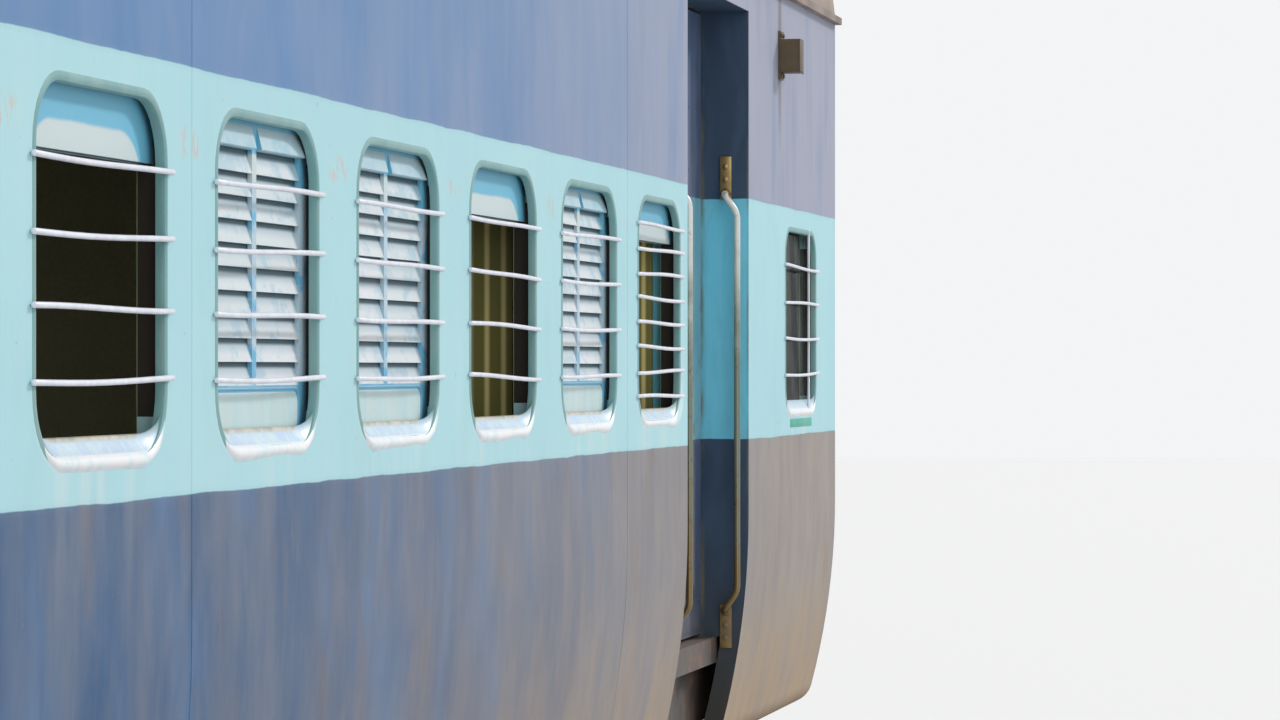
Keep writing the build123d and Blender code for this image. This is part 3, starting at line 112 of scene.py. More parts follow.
class CoachShape(bpy.types.PropertyGroup):
    """Sizes of the finish."""

    band_low: length("Band foot", "Height of the turquoise band's lower edge above the rail", 1.90)
    band_high: length("Band head", "Height of the turquoise band's upper edge above the rail", 2.65)
    bar_radius: length("Window bar radius", "Radius of the round window bars", 0.0054)
    bar_wave: length("Bar bend", "Most that a window bar is bent out of line", 0.0026)
    rail_radius: length("Handrail radius", "Radius of the door handrails", 0.0100)
    spring_wire: length("Spring wire radius", "Radius of the wire of the bogie springs", 0.017)


class CoachColours(bpy.types.PropertyGroup):
    """Colours of the finish, in linear light."""

    blue: shade("Body blue", "Blue paint where it is least faded", (0.075, 0.205, 0.42))
    lilac: shade("Faded lilac", "Blue paint where it has chalked", (0.33, 0.345, 0.43))
    slate: shade("Lower blue", "Blue paint below the band, under old dirt", (0.032, 0.092, 0.200))
    dusk: shade("Lower haze", "Paint below the band where dust has dulled it", (0.30, 0.275, 0.265))
    band: shade("Band turquoise", "Paint of the band at window height", (0.38, 0.64, 0.69))
    # The two recess colours are the band and the body blue painted as shade
    cyan_paint_and_shade: shade("Recess cyan", "Band paint inside the door recesses", (0.17, 0.58, 0.74))
    blue_in_shade: shade("Recess navy", "Blue paint inside the door recesses", (0.035, 0.062, 0.105))
    teal: shade("Reveal teal", "Paint on the edges of the window openings", (0.12, 0.30, 0.33))
    sand: shade("Track dust", "Pale brown dust thrown up from the track", (0.44, 0.32, 0.20))
    # Dark dirt on the doors, and also painted shade in the grooves behind the window edges
    dark_dirt_and_shade: shade("Dark dirt", "Oily dirt in corners and under the floor", (0.035, 0.028, 0.022))
    rust: shade("Rust", "Rust on bare iron", (0.20, 0.075, 0.03))
    vinyl: shade("Berth vinyl", "Vinyl of the berth cushions", (0.03, 0.09, 0.20))


class CoachStage(bpy.types.PropertyGroup):
    """Light and floor round the coach."""

    sky: strength("Sky strength", "Strength of the soft light all round", 0.62)
    key: strength("Key strength", "Strength of the main soft lamp", 1.6)
    front: strength("Front strength", "Strength of the soft lamp by the camera", 0.75)
    fill: strength("Fill strength", "Strength of the lamp from the other side", 1.3)
    floor: shade("Floor colour", "Colour of the plain floor", (0.74, 0.73, 0.715))


# Grids of points

def grid_faces(rows, columns, close_rows, close_columns):
    """Quads between neighbours of a grid that is numbered row by row."""
    row, column = np.meshgrid(
        np.arange(rows if close_rows else rows - 1),
        np.arange(columns if close_columns else columns - 1),
        indexing="ij",
    )
    next_row, next_column = (row + 1) % rows, (column + 1) % columns
    corners = (row * columns + column, next_row * columns + column,
               next_row * columns + next_column, row * columns + next_column)
    return np.stack(corners, -1).reshape(-1, 4)


def piece(name, sheets, body, material, angle=38.0):
    """Makes one object of grids, each (points, closed along rows, closed along columns)."""
    points, faces, count = [], [], 0
    for shape, close_rows, close_columns in sheets:
        rows, columns = shape.shape[-3:-1]
        copies = shape.reshape(-1, rows, columns, 3)
        starts = count + rows * columns * np.arange(len(copies))
        quads = grid_faces(rows, columns, close_rows, close_columns)
        faces.append((quads[None] + starts[:, None, None]).reshape(-1, 4))
        points.append(copies.reshape(-1, 3))
        count += len(copies) * rows * columns
    points, faces = np.concatenate(points), np.concatenate(faces)
    mesh = bpy.data.meshes.new(name)
    mesh.vertices.add(len(points))
    mesh.vertices.foreach_set("co", points.astype(np.float32).ravel())
    mesh.loops.add(faces.size)
    mesh.loops.foreach_set("vertex_index", faces.astype(np.int32).ravel())
    mesh.polygons.add(len(faces))
    mesh.polygons.foreach_set("loop_start", np.arange(0, faces.size, 4, dtype=np.int32))
    mesh.update(calc_edges=True)
    shell = bmesh.new()
    shell.from_mesh(mesh)
    bmesh.ops.remove_doubles(shell, verts=shell.verts, dist=2e-5)
    bmesh.ops.dissolve_degenerate(shell, edges=shell.edges, dist=1e-6)
    bmesh.ops.recalc_face_normals(shell, faces=shell.faces)
    shell.to_mesh(mesh)
    shell.free()
    mesh.polygons.foreach_set("use_smooth", np.ones(len(mesh.polygons), dtype=bool))
    mesh.set_sharp_from_angle(angle=radians(angle))
    mesh.materials.append(material)
    made = bpy.data.objects.new(name, mesh)
    bpy.context.scene.collection.objects.link(made)
    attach(made, body)
    return made


def unit(vectors):
    """Each vector at length one."""
    return vectors / np.maximum(np.linalg.norm(vectors, axis=-1, keepdims=True), 1e-12)


def at_signs(points, signs):
    """A copy of the points for each set of signs of x, y and z."""
    return np.concatenate([points.reshape((-1,) + points.shape[-3:]) * sign for sign in signs])


def four_corners(points):
    """Copies mirrored to both ends and both sides of the coach."""
    return at_signs(points, [(end, side, 1) for end in ENDS for side in SIDES])


def both_sides(points):
    """Copies mirrored to both sides of the coach."""
    return at_signs(points, [(1, side, 1) for side in SIDES])


def both_ends(points):
    """Copies mirrored to both ends of the coach."""
    return at_signs(points, [(end, 1, 1) for end in ENDS])


def copied(copy, *sheets):
    """Each sheet with the copies of it that a function gives."""
    return [(copy(points), rows, columns) for points, rows, columns in sheets]


def bar(path, radius, across, sides=12, tip=0.6):
    """Round bar along a path: at each point a circle about the path's direction.

    Both ends close in a low dome: the circle shrinks to nothing over tip radii.
    """
    direction = unit(np.gradient(path, axis=-2))
    aside = np.cross(direction, np.asarray(across, float))
    aside = unit(aside)
    above = np.cross(aside, direction)
    rise = np.array([0.0, 0.55, 0.85, 1.0])
    back = np.array([tip, tip * 0.8, tip * 0.45, 0.0])
    first = path[..., :1, :] - direction[..., :1, :] * (radius * back)[:, None]
    last = path[..., -1:, :] + direction[..., -1:, :] * (radius * back[::-1])[:, None]
    line = np.concatenate([first, path[..., 1:-1, :], last], axis=-2)
    width = radius * np.concatenate([rise, np.ones(path.shape[-2] - 2), rise[::-1]])

    def spread(vectors):
        ends = (np.repeat(vectors[..., :1, :], 4, axis=-2), np.repeat(vectors[..., -1:, :], 4, axis=-2))
        return np.concatenate([ends[0], vectors[..., 1:-1, :], ends[1]], axis=-2)

    aside, above = spread(aside), spread(above)
    turn = np.linspace(0, 2 * pi, sides, endpoint=False)
    ring = aside[..., None, :] * np.cos(turn)[:, None] + above[..., None, :] * np.sin(turn)[:, None]
    return (line[..., None, :] + width[:, None, None] * ring, False, True)


def rounded_route(corners, bend, steps=5):
    """A route through corners, where each inner corner is a quadratic curve that long on each side."""
    corners = np.asarray(corners, float)
    share = np.linspace(0, 1, steps)[:, None]
    route = [corners[:1]]
    for before, here, after in zip(corners[:-2], corners[1:-1], corners[2:]):
        start = here + unit(before - here) * bend
        end = here + unit(after - here) * bend
        route.append(start * (1 - share) ** 2 + 2 * here * share * (1 - share) + end * share**2)
    route.append(corners[-1:])
    return np.concatenate(route)


def turned(profile, base, direction, sides=32):
    """Surface of revolution: each row's radius turns round a line from base along direction."""
    profile = np.asarray(profile, float)
    along = unit(np.asarray(direction, float))
    across = unit(np.cross(along, (0.0, 0.0, 1.0) if abs(along[2]) < 0.9 else (1.0, 0.0, 0.0)))
    other = np.cross(along, across)
    turn = np.linspace(0, 2 * pi, sides, endpoint=False)
    ring = np.cos(turn)[:, None] * across + np.sin(turn)[:, None] * other
    line = np.asarray(base, float) + profile[:, :1] * along
    return (line[:, None, :] + profile[:, 1, None, None] * ring, False, True)


def quarter_turns(steps):
    """Angles of four round corners, counter-clockwise, and the signs of each corner's two axes."""
    turn = np.concatenate([np.linspace(q * pi / 2, (q + 1) * pi / 2, steps + 1) for q in range(4)])
    quadrant = np.repeat(np.arange(4), steps + 1)
    return turn, np.where(np.isin(quadrant, (0, 3)), 1.0, -1.0), np.where(np.isin(quadrant, (0, 1)), 1.0, -1.0)


def rounded_blocks(low, high, edge, steps=3, crown=0.0, rings=1):
    """Blocks with rounded edges: a ball of that radius carried round an inner box.

    With a crown, the top and bottom rise by that much in the middle, as 1 minus the square of
    the distance from the middle.
    """
    low, high = np.atleast_2d(low).astype(float), np.atleast_2d(high).astype(float)
    middle, half = (low + high) / 2, (high - low) / 2
    turn, sign_x, sign_y = quarter_turns(steps)
    lean = np.linspace(0, pi / 2, steps + 1)
    spread = np.linspace(0, 1, rings + 1)[:-1]
    rows = []
    for level, leans in ((-1, lean[::-1]), (1, lean)):
        cap = [(level, share, 0.0, 1.0) for share in spread]
        wall = [(level, 1.0, cos(a), sin(a)) for a in leans]
        rows += cap + wall if level < 0 else wall + cap[::-1]
    rows = np.array(rows)
    inner = half[:, None, None, :] - edge
    x = rows[:, 1, None] * sign_x * inner[..., 0] + edge * rows[:, 2, None] * np.cos(turn)
    y = rows[:, 1, None] * sign_y * inner[..., 1] + edge * rows[:, 2, None] * np.sin(turn)
    reach = np.maximum(np.abs(x) / half[:, None, None, 0], np.abs(y) / half[:, None, None, 1])
    swell = crown * (1 - reach**2)
    z = rows[:, 0, None] * (inner[..., 2] + edge * rows[:, 3, None] + swell)
    return (np.stack([x, y, z], -1) + middle[:, None, None, :], False, True)


def plates(blocks, edge, detail=2):
    """Blocks with rounded edges, each given by its two corners."""
    low, high = np.array(blocks).transpose(1, 0, 2)
    return rounded_blocks(low, high, edge, detail)


def mirrored(half):
    """A profile with its half on the other side of the middle."""
    return [(-along, wide) for along, wide in half[::-1]] + half[1:]


def bolts_at(places, direction, radius=0.011, height=0.009):
    """Domed bolt heads on washers at each place, standing along a direction."""
    head = [(0, 0), (0, 1.5), (0.2, 1.5), (0.22, 1.0), (0.75, 0.95), (1.0, 0.6), (1.05, 0)]
    heads = [turned(np.array(head) * (height, radius), place, direction, 8)[0] for place in places]
    return (np.array(heads), False, True)


def rounded_rectangle(half, corner, steps=8):
    """Points of a rectangle with round corners, counter-clockwise from the right, with outward units."""
    turn, sign_x, sign_z = quarter_turns(steps)
    outward = np.stack([np.cos(turn), np.sin(turn)], -1)
    inner = np.stack([sign_x * (half[0] - corner), sign_z * (half[1] - corner)], -1)
    return inner + corner * outward, outward


def wall_ring(outline, outward, profile, y):
    """A closed section carried round an outline on a wall that faces -Y.

    Each row of the section is a distance outwards in the wall's plane and a height over it.
    """
    profile = np.asarray(profile, float)
    flat = outline[:, None, :] + outward[:, None, :] * profile[None, :, :1]
    depth = np.broadcast_to(y - profile[None, :, 1], flat.shape[:2])
    return np.stack([flat[..., 0], depth, flat[..., 1]], -1)


def facing(points, side):
    """Points made for the -Y side, turned half round for the other side."""
    return points if side < 0 else points * (-1, -1, 1)


def window_rows(side):
    """Rows of a window's middle x, its half size and its corner, the lavatory windows last."""
    first = WINDOW_PITCH * (WINDOW_COUNT - 1) / 2
    middle = [first - WINDOW_PITCH * number for number in range(1, WINDOW_COUNT - 1)]
    rows = [(x, WINDOW_HALF, WINDOW_CORNER) for x in middle]
    shift = WINDOW_HALF[0] - DOOR_SIDE_HALF[0]
    rows += [(end * (first - shift), DOOR_SIDE_HALF, WINDOW_CORNER) for end in ENDS]
    rows += [(end * LAVATORY_X, LAVATORY_HALF, LAVATORY_CORNER) for end in ENDS]
    return [(x * -side, half, corner) for x, half, corner in rows]


def solid_boxes(node):
    """Lowest and highest corners of each separate solid of a node, as two arrays."""
    shell = bmesh.new()
    shell.from_mesh(NODES[node].data)
    bmesh.ops.remove_doubles(shell, verts=shell.verts, dist=1e-5)
    shell.verts.ensure_lookup_table()
    group = np.full(len(shell.verts), -1)
    count = 0
    for vert in shell.verts:
        if group[vert.index] >= 0:
            continue
        waiting = [vert]
        group[vert.index] = count
        while waiting:
            for edge in waiting.pop().link_edges:
                for near in edge.verts:
                    if group[near.index] < 0:
                        group[near.index] = count
                        waiting.append(near)
        count += 1
    points = np.array([tuple(v.co) for v in shell.verts])
    shell.free()
    low = np.array([points[group == number].min(0) for number in range(count)])
    high = np.array([points[group == number].max(0) for number in range(count)])
    return low, high


# Shader nodes

class Wire:
    """A node's output; sums, products and comparisons of wires add the nodes that work them out."""

    def __init__(self, socket):
        self.socket = socket

    def __add__(self, other):
        return maths("ADD", self, other)

    def __sub__(self, other):
        return maths("SUBTRACT", self, other)

    def __rsub__(self, other):
        return maths("SUBTRACT", other, self)

    def __mul__(self, other):
        return maths("MULTIPLY", self, other)

    def __truediv__(self, other):
        return maths("DIVIDE", self, other)

    def __gt__(self, other):
        return maths("GREATER_THAN", self, other)

    def __lt__(self, other):
        return maths("LESS_THAN", self, other)

    def __abs__(self):
        return maths("ABSOLUTE", self)


def feed(value, target):
    """Gives an input a wire, a number or a colour."""
    if isinstance(value, Wire):
        target.id_data.links.new(value.socket, target)
    else:
        target.default_value = (*value[:3], 1.0) if target.type == "RGBA" else value


def add(tree, kind, output, inputs=None, **settings):
    """Adds a shader node and returns one of its outputs."""
    node = tree.nodes.new("ShaderNode" + kind)
    for name, value in settings.items():
        setattr(node, name, value)
    for name, value in (inputs or {}).items():
        feed(value, node.inputs[name])
    return Wire(node.outputs[output])


def maths(operation, *values):
    """A function of values, at least one of them a wire."""
    wire = next(value for value in values if isinstance(value, Wire))
    return add(wire.socket.id_data, "Math", 0, dict(enumerate(values)), operation=operation)


def maximum(first, second):
    """The higher of two values."""
    return maths("MAXIMUM", first, second)


def minimum(first, second):
    """The lower of two values."""
    return maths("MINIMUM", first, second)


def clamped(wire):
    """The value of a sum or product, held between nought and one."""
    wire.socket.node.use_clamp = True
    return wire


def blend(share, first, second):
    """Two colours mixed by a share."""
    return add(share.socket.id_data, "Mix", 2, {0: share, 6: first, 7: second}, data_type="RGBA")


def ramp(value, low, high, start=0.0, end=1.0):
    """A value carried smoothly from one range to another and held at its ends."""
    inputs = {"Value": value, "From Min": low, "From Max": high, "To Min": start, "To Max": end}
    return add(value.socket.id_data, "MapRange", 0, inputs, interpolation_type="SMOOTHSTEP")


def noise(tree, scale, stretch=(1, 1, 1), detail=4.0, roughness=0.55, shift=(0, 0, 0)):
    """Cloudy variation on object coordinates, stretched along the axes."""
    place = add(tree, "TexCoord", "Object")
    vector = add(tree, "Mapping", 0, {"Vector": place, "Scale": stretch, "Location": shift})
    inputs = {"Vector": vector, "Scale": scale, "Detail": detail, "Roughness": roughness}
    return add(tree, "TexNoise", "Fac", inputs)


def axes(tree):
    """The object coordinates x, y and z."""
    place = add(tree, "TexCoord", "Object")
    return [add(tree, "SeparateXYZ", axis, {0: place}) for axis in range(3)]


def normal(tree, axis):
    """The surface normal's part along an axis."""
    return add(tree, "SeparateXYZ", axis, {0: add(tree, "NewGeometry", "Normal")})


def facing_mask(tree, axis, low=0.6, high=0.8):
    """One where the surface faces along an axis, either way."""
    return ramp(abs(normal(tree, axis)), low, high)


def new_group(name, inputs, *outputs):
    """An empty node group with these inputs and their defaults, and these outputs."""
    tree = bpy.data.node_groups.new(name, "ShaderNodeTree")
    for label, value in inputs.items():
        kind = "NodeSocketColor" if isinstance(value, tuple) else "NodeSocketFloat"
        tree.interface.new_socket(label, in_out="INPUT", socket_type=kind).default_value = value
    for label in outputs:
        kind = "NodeSocketColor" if label == "Color" else "NodeSocketFloat"
        tree.interface.new_socket(label, in_out="OUTPUT", socket_type=kind)
    given = {socket.name: Wire(socket) for socket in tree.nodes.new("NodeGroupInput").outputs}
    return tree, given, tree.nodes.new("NodeGroupOutput").inputs


def use_group(tree, name, inputs=None):
    """Places a node group in a tree and returns its outputs by name."""
    node = tree.nodes.new("ShaderNodeGroup")
    node.node_tree = bpy.data.node_groups[name]
    for label, value in (inputs or {}).items():
        feed(value, node.inputs[label])
    return {socket.name: Wire(socket) for socket in node.outputs}


def make_weather_group():
    """Streaks: noise stretched downwards. Clouds: wide noise. Grain: fine noise."""
    tree, given, out = new_group(
        "Rain and dust", {"Fineness": 6.5}, "Streaks", "Fine Streaks", "Clouds", "Grain"
    )
    place = add(tree, "TexCoord", "Object")
    moved = add(tree, "VectorMath", 0, {0: place, 1: (3.1, 1.7, 0.0)}, operation="ADD")
    swirl = add(tree, "TexNoise", "Color", {"Vector": moved, "Scale": 1.7, "Detail": 3.0})
    bent = add(tree, "VectorMath", 0, {0: swirl, 1: (0.22, 0.22, 0.9), 2: moved}, operation="MULTIPLY_ADD")
    long = add(tree, "Mapping", 0, {"Vector": bent, "Scale": (1.0, 1.0, 0.17)})
    wide, thin, clouds, grain = (
        add(tree, "TexNoise", "Fac", {"Vector": place, "Scale": scale, "Detail": detail, "Roughness": rough})
        for place, scale, detail, rough in (
            (long, given["Fineness"], 3.0, 0.5), (long, given["Fineness"] * 2.4, 3.0, 0.55),
            (moved, 1.3, 5.0, 0.6), (moved, 160.0, 3.0, 0.6),
        )
    )
    feed(ramp(wide, 0.34, 0.68), out["Streaks"])
    feed(ramp(thin, 0.38, 0.7), out["Fine Streaks"])
    feed(ramp(clouds, 0.36, 0.66), out["Clouds"])
    feed(grain, out["Grain"])


def make_band_group():
    """One inside the band's two heights, whose edges waver by a brush hair."""
    tree, given, out = new_group("Paint band", {"Foot": 1.9, "Head": 2.6}, "Band", "Edge")
    height = axes(tree)[2] + (noise(tree, 4.2, detail=5.0) - 0.5) * 0.012
    over_foot = ramp(height - given["Foot"], -0.0015, 0.0015)
    under_head = ramp(given["Head"] - height, -0.0015, 0.0015)
    feed(over_foot * under_head, out["Band"])
    near_foot = abs(height - given["Foot"])
    near_head = abs(height - given["Head"])
    near = minimum(near_foot, near_head)
    feed(ramp(near, 0.0, 0.012, 1.0, 0.0), out["Edge"])


def make_opening_group():
    """Signed distance to the nearest of a row of rounded windows, and the drips under them.

    The distance is the length of what lies beyond the inner box, less the corner's radius.
    """
    tree, given, out = new_group(
        "Window row",
        {"Pitch": 0.9, "First": 0.0, "Half Width": 0.31, "Half Height": 0.305, "Corner": 0.11, "Middle": 2.3},
        "Distance", "Drips",
    )
    x, _, z = axes(tree)
    turns = (x - given["First"]) / given["Pitch"]
    off = abs((turns - maths("ROUND", turns)) * given["Pitch"])
    up = z - given["Middle"]
    over_x = off - given["Half Width"] + given["Corner"]
    over_z = abs(up) - given["Half Height"] + given["Corner"]
    beyond_x, beyond_z = maximum(over_x, 0.0), maximum(over_z, 0.0)
    squares = beyond_x * beyond_x + beyond_z * beyond_z
    inside = minimum(maximum(over_x, over_z), 0.0)
    feed(maths("SQRT", squares) + inside - given["Corner"], out["Distance"])
    under = up * -1.0 - given["Half Height"]
    fall = ramp(under, 0.0, 0.02) * ramp(under, 0.05, 0.42, 1.0, 0.0)
    sides = ramp(off - given["Half Width"], -0.06, 0.03, 1.0, 0.0)
    thin = ramp(noise(tree, 15.0, (1.0, 1.0, 0.16), 3.0, 0.5), 0.46, 0.7)
    feed(fall * sides * thin, out["Drips"])


def make_livery_group(shape, colours):
    """Body paint: blue that chalks to lilac, a turquoise band, streaks, and track dust at the foot."""
    tree, given, out = new_group(
        "Livery", {"Chalk": 0.0, "Drips": 0.0, "Rim Wear And Highlight": 0.0}, "Color", "Roughness", "Height"
    )
    x, _, z = axes(tree)
    weather = use_group(tree, "Rain and dust")
    band = use_group(tree, "Paint band", {"Foot": RAIL_Z + shape.band_low, "Head": RAIL_Z + shape.band_high})
    away = abs(x)
    far = ramp(away, 2.8, 10.4)
    # Above the band: soft upright patches, blue amidships and lilac towards the ends
    patches = ramp(noise(tree, 2.6, (1.0, 1.0, 0.42), 3.0, 0.5, (4.0, 0.0, 2.0)), 0.33, 0.67)
    chalk = clamped(weather["Streaks"] * 0.1 + far * 0.88 + patches * 0.16 + given["Chalk"])
    high = blend(chalk, colours.blue, colours.lilac)
    deep = ramp(noise(tree, 5.5, (1, 1, 0.22), 3.0, 0.5), 0.5, 0.72) * 0.3
    high = blend(deep, high, (0.085, 0.2, 0.38))
    high = blend(weather["Fine Streaks"] * 0.06, high, (0.42, 0.43, 0.49))
    # Below each lamp bracket: a dark streak, partly dirt and partly the bracket's painted shadow
    bracket = abs(away - BRACKET_X)
    bracket_dirt_and_shadow = ramp(bracket, 0.005, 0.05, 1.0, 0.0) * ramp(z, 2.78, 3.1, 0.0, 0.55)
    high = blend(bracket_dirt_and_shadow, high, (0.11, 0.1, 0.085))
    # Below it: darker, with cloudy runs of grey and brown and dust thrown up at the foot
    scuffs = ramp(noise(tree, 12.0, (1, 1, 0.3), 6.0, 0.66, (2.0, 0.0, 3.0)), 0.4, 0.68)
    runs = scuffs * 0.34 + weather["Streaks"] * 0.45 + weather["Fine Streaks"] * 0.15
    haze = clamped(far * 0.78 + runs * 0.36)
    low = blend(haze, colours.slate, colours.dusk)
    brown = ramp(noise(tree, 6.0, (1, 1, 0.36), 5.0, 0.62, (0.0, 0.0, 5.0)), 0.52, 0.74, 0.0, 0.45)
    low = blend(brown, low, (0.2, 0.15, 0.125))
    fresh = ramp(noise(tree, 3.4, (1, 1, 0.42), 4.0, 0.55, (9.0, 0.0, 1.0)), 0.46, 0.7, 0.0, 0.6)
    low = blend(fresh * (1.0 - far), low, (0.085, 0.2, 0.38))
    near_foot = ramp(z, 0.96, 1.62, 1.0, 0.0)
    broken = runs * 0.6 + 0.35
    dust = near_foot * broken * (far * 0.95 + 0.3)
    low = blend(dust, low, colours.sand)
    low = blend(far * 0.16, low, colours.sand)
    lip = ramp(z, 0.93, 1.05, 1.0, 0.0) * 0.85
    low = blend(lip, low, (0.17, 0.105, 0.045))
    blue = blend(ramp(z, 2.15, 2.45), low, high)
    # The band: cloudy turquoise with pale drips, and faint orange smudges near its head
    pale = blend(weather["Clouds"] * 0.4, colours.band, (0.46, 0.7, 0.71))
    green = ramp(noise(tree, 5.0, (1, 1, 0.45), 5.0, 0.6), 0.48, 0.75, 0.0, 0.35)
    pale = blend(green, pale, (0.33, 0.58, 0.6))
    pale = blend(weather["Fine Streaks"] * 0.1, pale, (0.6, 0.72, 0.7))
    pale = blend(given["Drips"] * 0.35, pale, (0.64, 0.78, 0.76))
    between = abs(maths("PINGPONG", x, WINDOW_PITCH / 2))
    spot = ramp(between, 0.03, 0.085, 1.0, 0.0) * ramp(away, 7.55, 7.75, 1.0, 0.0)
    spot = spot * ramp(abs(z - 2.545), 0.012, 0.035, 1.0, 0.0)
    dabs = ramp(noise(tree, 42.0, (1.0, 1.0, 0.45), 3.0, 0.6), 0.5, 0.62)
    pale = blend(spot * dabs * 0.45, pale, (0.72, 0.34, 0.22))
    colour = blend(band["Band"], blue, pale)
    colour = blend(given["Drips"] * 0.1, colour, (0.42, 0.41, 0.43))
    colour = blend(band["Edge"] * 0.1, colour, (0.16, 0.34, 0.42))
    # The rim: pale, partly worn paint and partly painted highlight
    colour = blend(given["Rim Wear And Highlight"] * 0.45, colour, (0.78, 0.88, 0.88))
    specks = ramp(noise(tree, 55.0, detail=2.0), 0.72, 0.78, 0.0, 0.35)
    colour = blend(specks, colour, (0.24, 0.22, 0.19))
    feed(colour, out["Color"])
    feed(clamped(dust * 0.3 + weather["Clouds"] * 0.16 + chalk * 0.16 + 0.42), out["Roughness"])
    dents, brushed = noise(tree, 1.6, (1, 1, 0.7), 2.0), noise(tree, 60.0, (1, 1, 0.06), 3.0)
    feed(dents + brushed * 0.05 + weather["Grain"] * 0.03, out["Height"])


def make_iron_group():
    """Black paint under brown dust: dust lies on what faces up and in wide clouds, rust shows through."""
    tree, given, out = new_group(
        "Dusty iron",
        {"Paint": (0.04, 0.04, 0.04, 1.0), "Dust Color": (0.3, 0.2, 0.14, 1.0),
         "Rust Color": (0.2, 0.07, 0.03, 1.0), "Dust": 0.5, "Rust": 0.3},
        "Color", "Roughness", "Height",
    )
    weather = use_group(tree, "Rain and dust")
    rusty = ramp(noise(tree, 9.0, detail=7.0, roughness=0.68), 0.48, 0.66)
    colour = blend(rusty * given["Rust"], given["Paint"], given["Rust Color"])
    caked = ramp(noise(tree, 5.0, detail=6.0, roughness=0.62, shift=(2.0, 5.0, 1.0)), 0.36, 0.66)
    settled = (ramp(normal(tree, 2), 0.0, 0.9) * 0.7 + 0.12) * (weather["Clouds"] * 0.6 + 0.5) + caked * 0.22
    dust = clamped(settled * given["Dust"])
    colour = blend(dust, colour, given["Dust Color"])
    oil = ramp(noise(tree, 4.0, detail=5.0), 0.58, 0.7, 0.0, 0.6)
    colour = blend(oil, colour, (0.012, 0.01, 0.009))
    feed(colour, out["Color"])
    feed(clamped(dust * 0.35 + 0.5 - oil * 0.25), out["Roughness"])
    feed(rusty * 0.4 + noise(tree, 70.0, detail=5.0, roughness=0.7) * 0.7, out["Height"])


def new_material(name, display):
    """A material with a Principled shader and an empty tree round it."""
    made = bpy.data.materials.new(name)
    made.use_nodes = True
    made.diffuse_color = (*display, 1.0)
    shader = made.node_tree.nodes["Principled BSDF"]
    return made, made.node_tree, shader


def finish(shader, colour, roughness, height=None, depth=0.001, gloss=None):
    """Feeds the shader's colour, roughness and gloss, and its normal from a height in metres."""
    feed(colour, shader.inputs["Base Color"])
    feed(roughness, shader.inputs["Roughness"])
    if height is not None:
        bump = add(shader.id_data, "Bump", 0, {"Height": height, "Distance": depth, "Strength": 1.0})
        feed(bump, shader.inputs["Normal"])
    if gloss is not None:
        feed(gloss, shader.inputs["Specular IOR Level"])


def body_paint(name, colours, opening, chalk=0.0):
    """Livery outside, teal on the window edges, painted shade behind them and tan laminate inside."""
    made, tree, shader = new_material(name, colours.lilac)
    _, y, z = axes(tree)
    row = use_group(tree, "Window row", opening)
    # Painted highlight: the rim round each opening is paled in its lower half, where it turns up to the sky,
    # besides its wear
    lit_lower_half = ramp(z, WINDOW_Z - 0.28, WINDOW_Z - 0.18, 1.0, 0.15)
    rim = ramp(row["Distance"], 0.004, 0.02, 1.0, 0.0) * lit_lower_half
    paint = use_group(tree, "Livery", {"Chalk": chalk, "Drips": row["Drips"], "Rim Wear And Highlight": rim})
    depth = SKIN_Y - abs(y)
    near_window = (row["Distance"] < 0.03) * (z > WINDOW_Z - 0.4)
    in_edge = ramp(depth, 0.0015, 0.004) * near_window
    # Painted shade: the top of each window edge is painted a darker olive
    shaded_top = ramp(z, WINDOW_Z + 0.2, WINDOW_Z + 0.29)
    edge = blend(shaded_top * 0.7, colours.teal, (0.1, 0.16, 0.11))
    colour = blend(in_edge, paint["Color"], edge)
    # Painted shade: the groove behind each window edge is painted dark
    groove_shade = ramp(depth, 0.0165, 0.0185) * near_window
    colour = blend(groove_shade, colour, colours.dark_dirt_and_shade)
    inner = ramp(depth, 0.0585, 0.0595) * (z > FLOOR_Z + 0.001)
    colour = blend(inner, colour, (0.4, 0.48, 0.27))
    finish(shader, colour, paint["Roughness"], paint["Height"], 0.0035, gloss=0.22)
    return made


def portal_paint(colours, shape):
    """Livery on the outside strips; on what faces into the recess, navy and cyan: the body blue and the band
    painted as shade.
    """
    made, tree, shader = new_material("Door recess paint", colours.blue_in_shade)
    _, y, z = axes(tree)
    paint = use_group(tree, "Livery", {"Chalk": 0.10})
    band = use_group(tree, "Paint band", {"Foot": RAIL_Z + shape.band_low, "Head": RAIL_Z + shape.band_high})
    weather = use_group(tree, "Rain and dust", {"Fineness": 16.0})
    # Painted shade: inside the recess the body blue is painted dark navy and the band a deeper cyan
    blue_in_shade = blend(weather["Streaks"] * 0.3, colours.blue_in_shade, (0.07, 0.12, 0.2))
    blue_in_shade = blend(ramp(z, 1.0, 1.7, 0.85, 0.0), blue_in_shade, (0.055, 0.05, 0.035))
    cyan_paint_and_shade = blend(weather["Streaks"] * 0.35, colours.cyan_paint_and_shade, (0.2, 0.47, 0.56))
    cyan_paint_and_shade = blend(weather["Fine Streaks"] * 0.2, cyan_paint_and_shade, (0.08, 0.32, 0.44))
    inner = blend(band["Band"], blue_in_shade, cyan_paint_and_shade)
    depth = SKIN_Y - abs(y)
    worn = ramp(depth, 0.0, 0.01, 0.8, 0.0) + ramp(depth, 0.135, 0.15, 0.0, 0.8)
    worn = worn * ramp(noise(tree, 20.0, (1, 1, 0.3), 5.0), 0.35, 0.65)
    inner = blend(worn, inner, (0.16, 0.15, 0.09))
    recess = maximum(facing_mask(tree, 0), facing_mask(tree, 2, 0.9, 0.97))
    # Where the skin turns under, it stands back by the height below squared over twice the radius
    below = maximum(1.69 - z, 0.0)
    recess = maximum(recess, ramp(depth - below * below / (2 * SKIN_TURN_RADIUS), 0.022, 0.026))
    colour = blend(recess, paint["Color"], inner)
    finish(shader, colour, paint["Roughness"], paint["Height"], 0.0025, gloss=0.25)
    return made


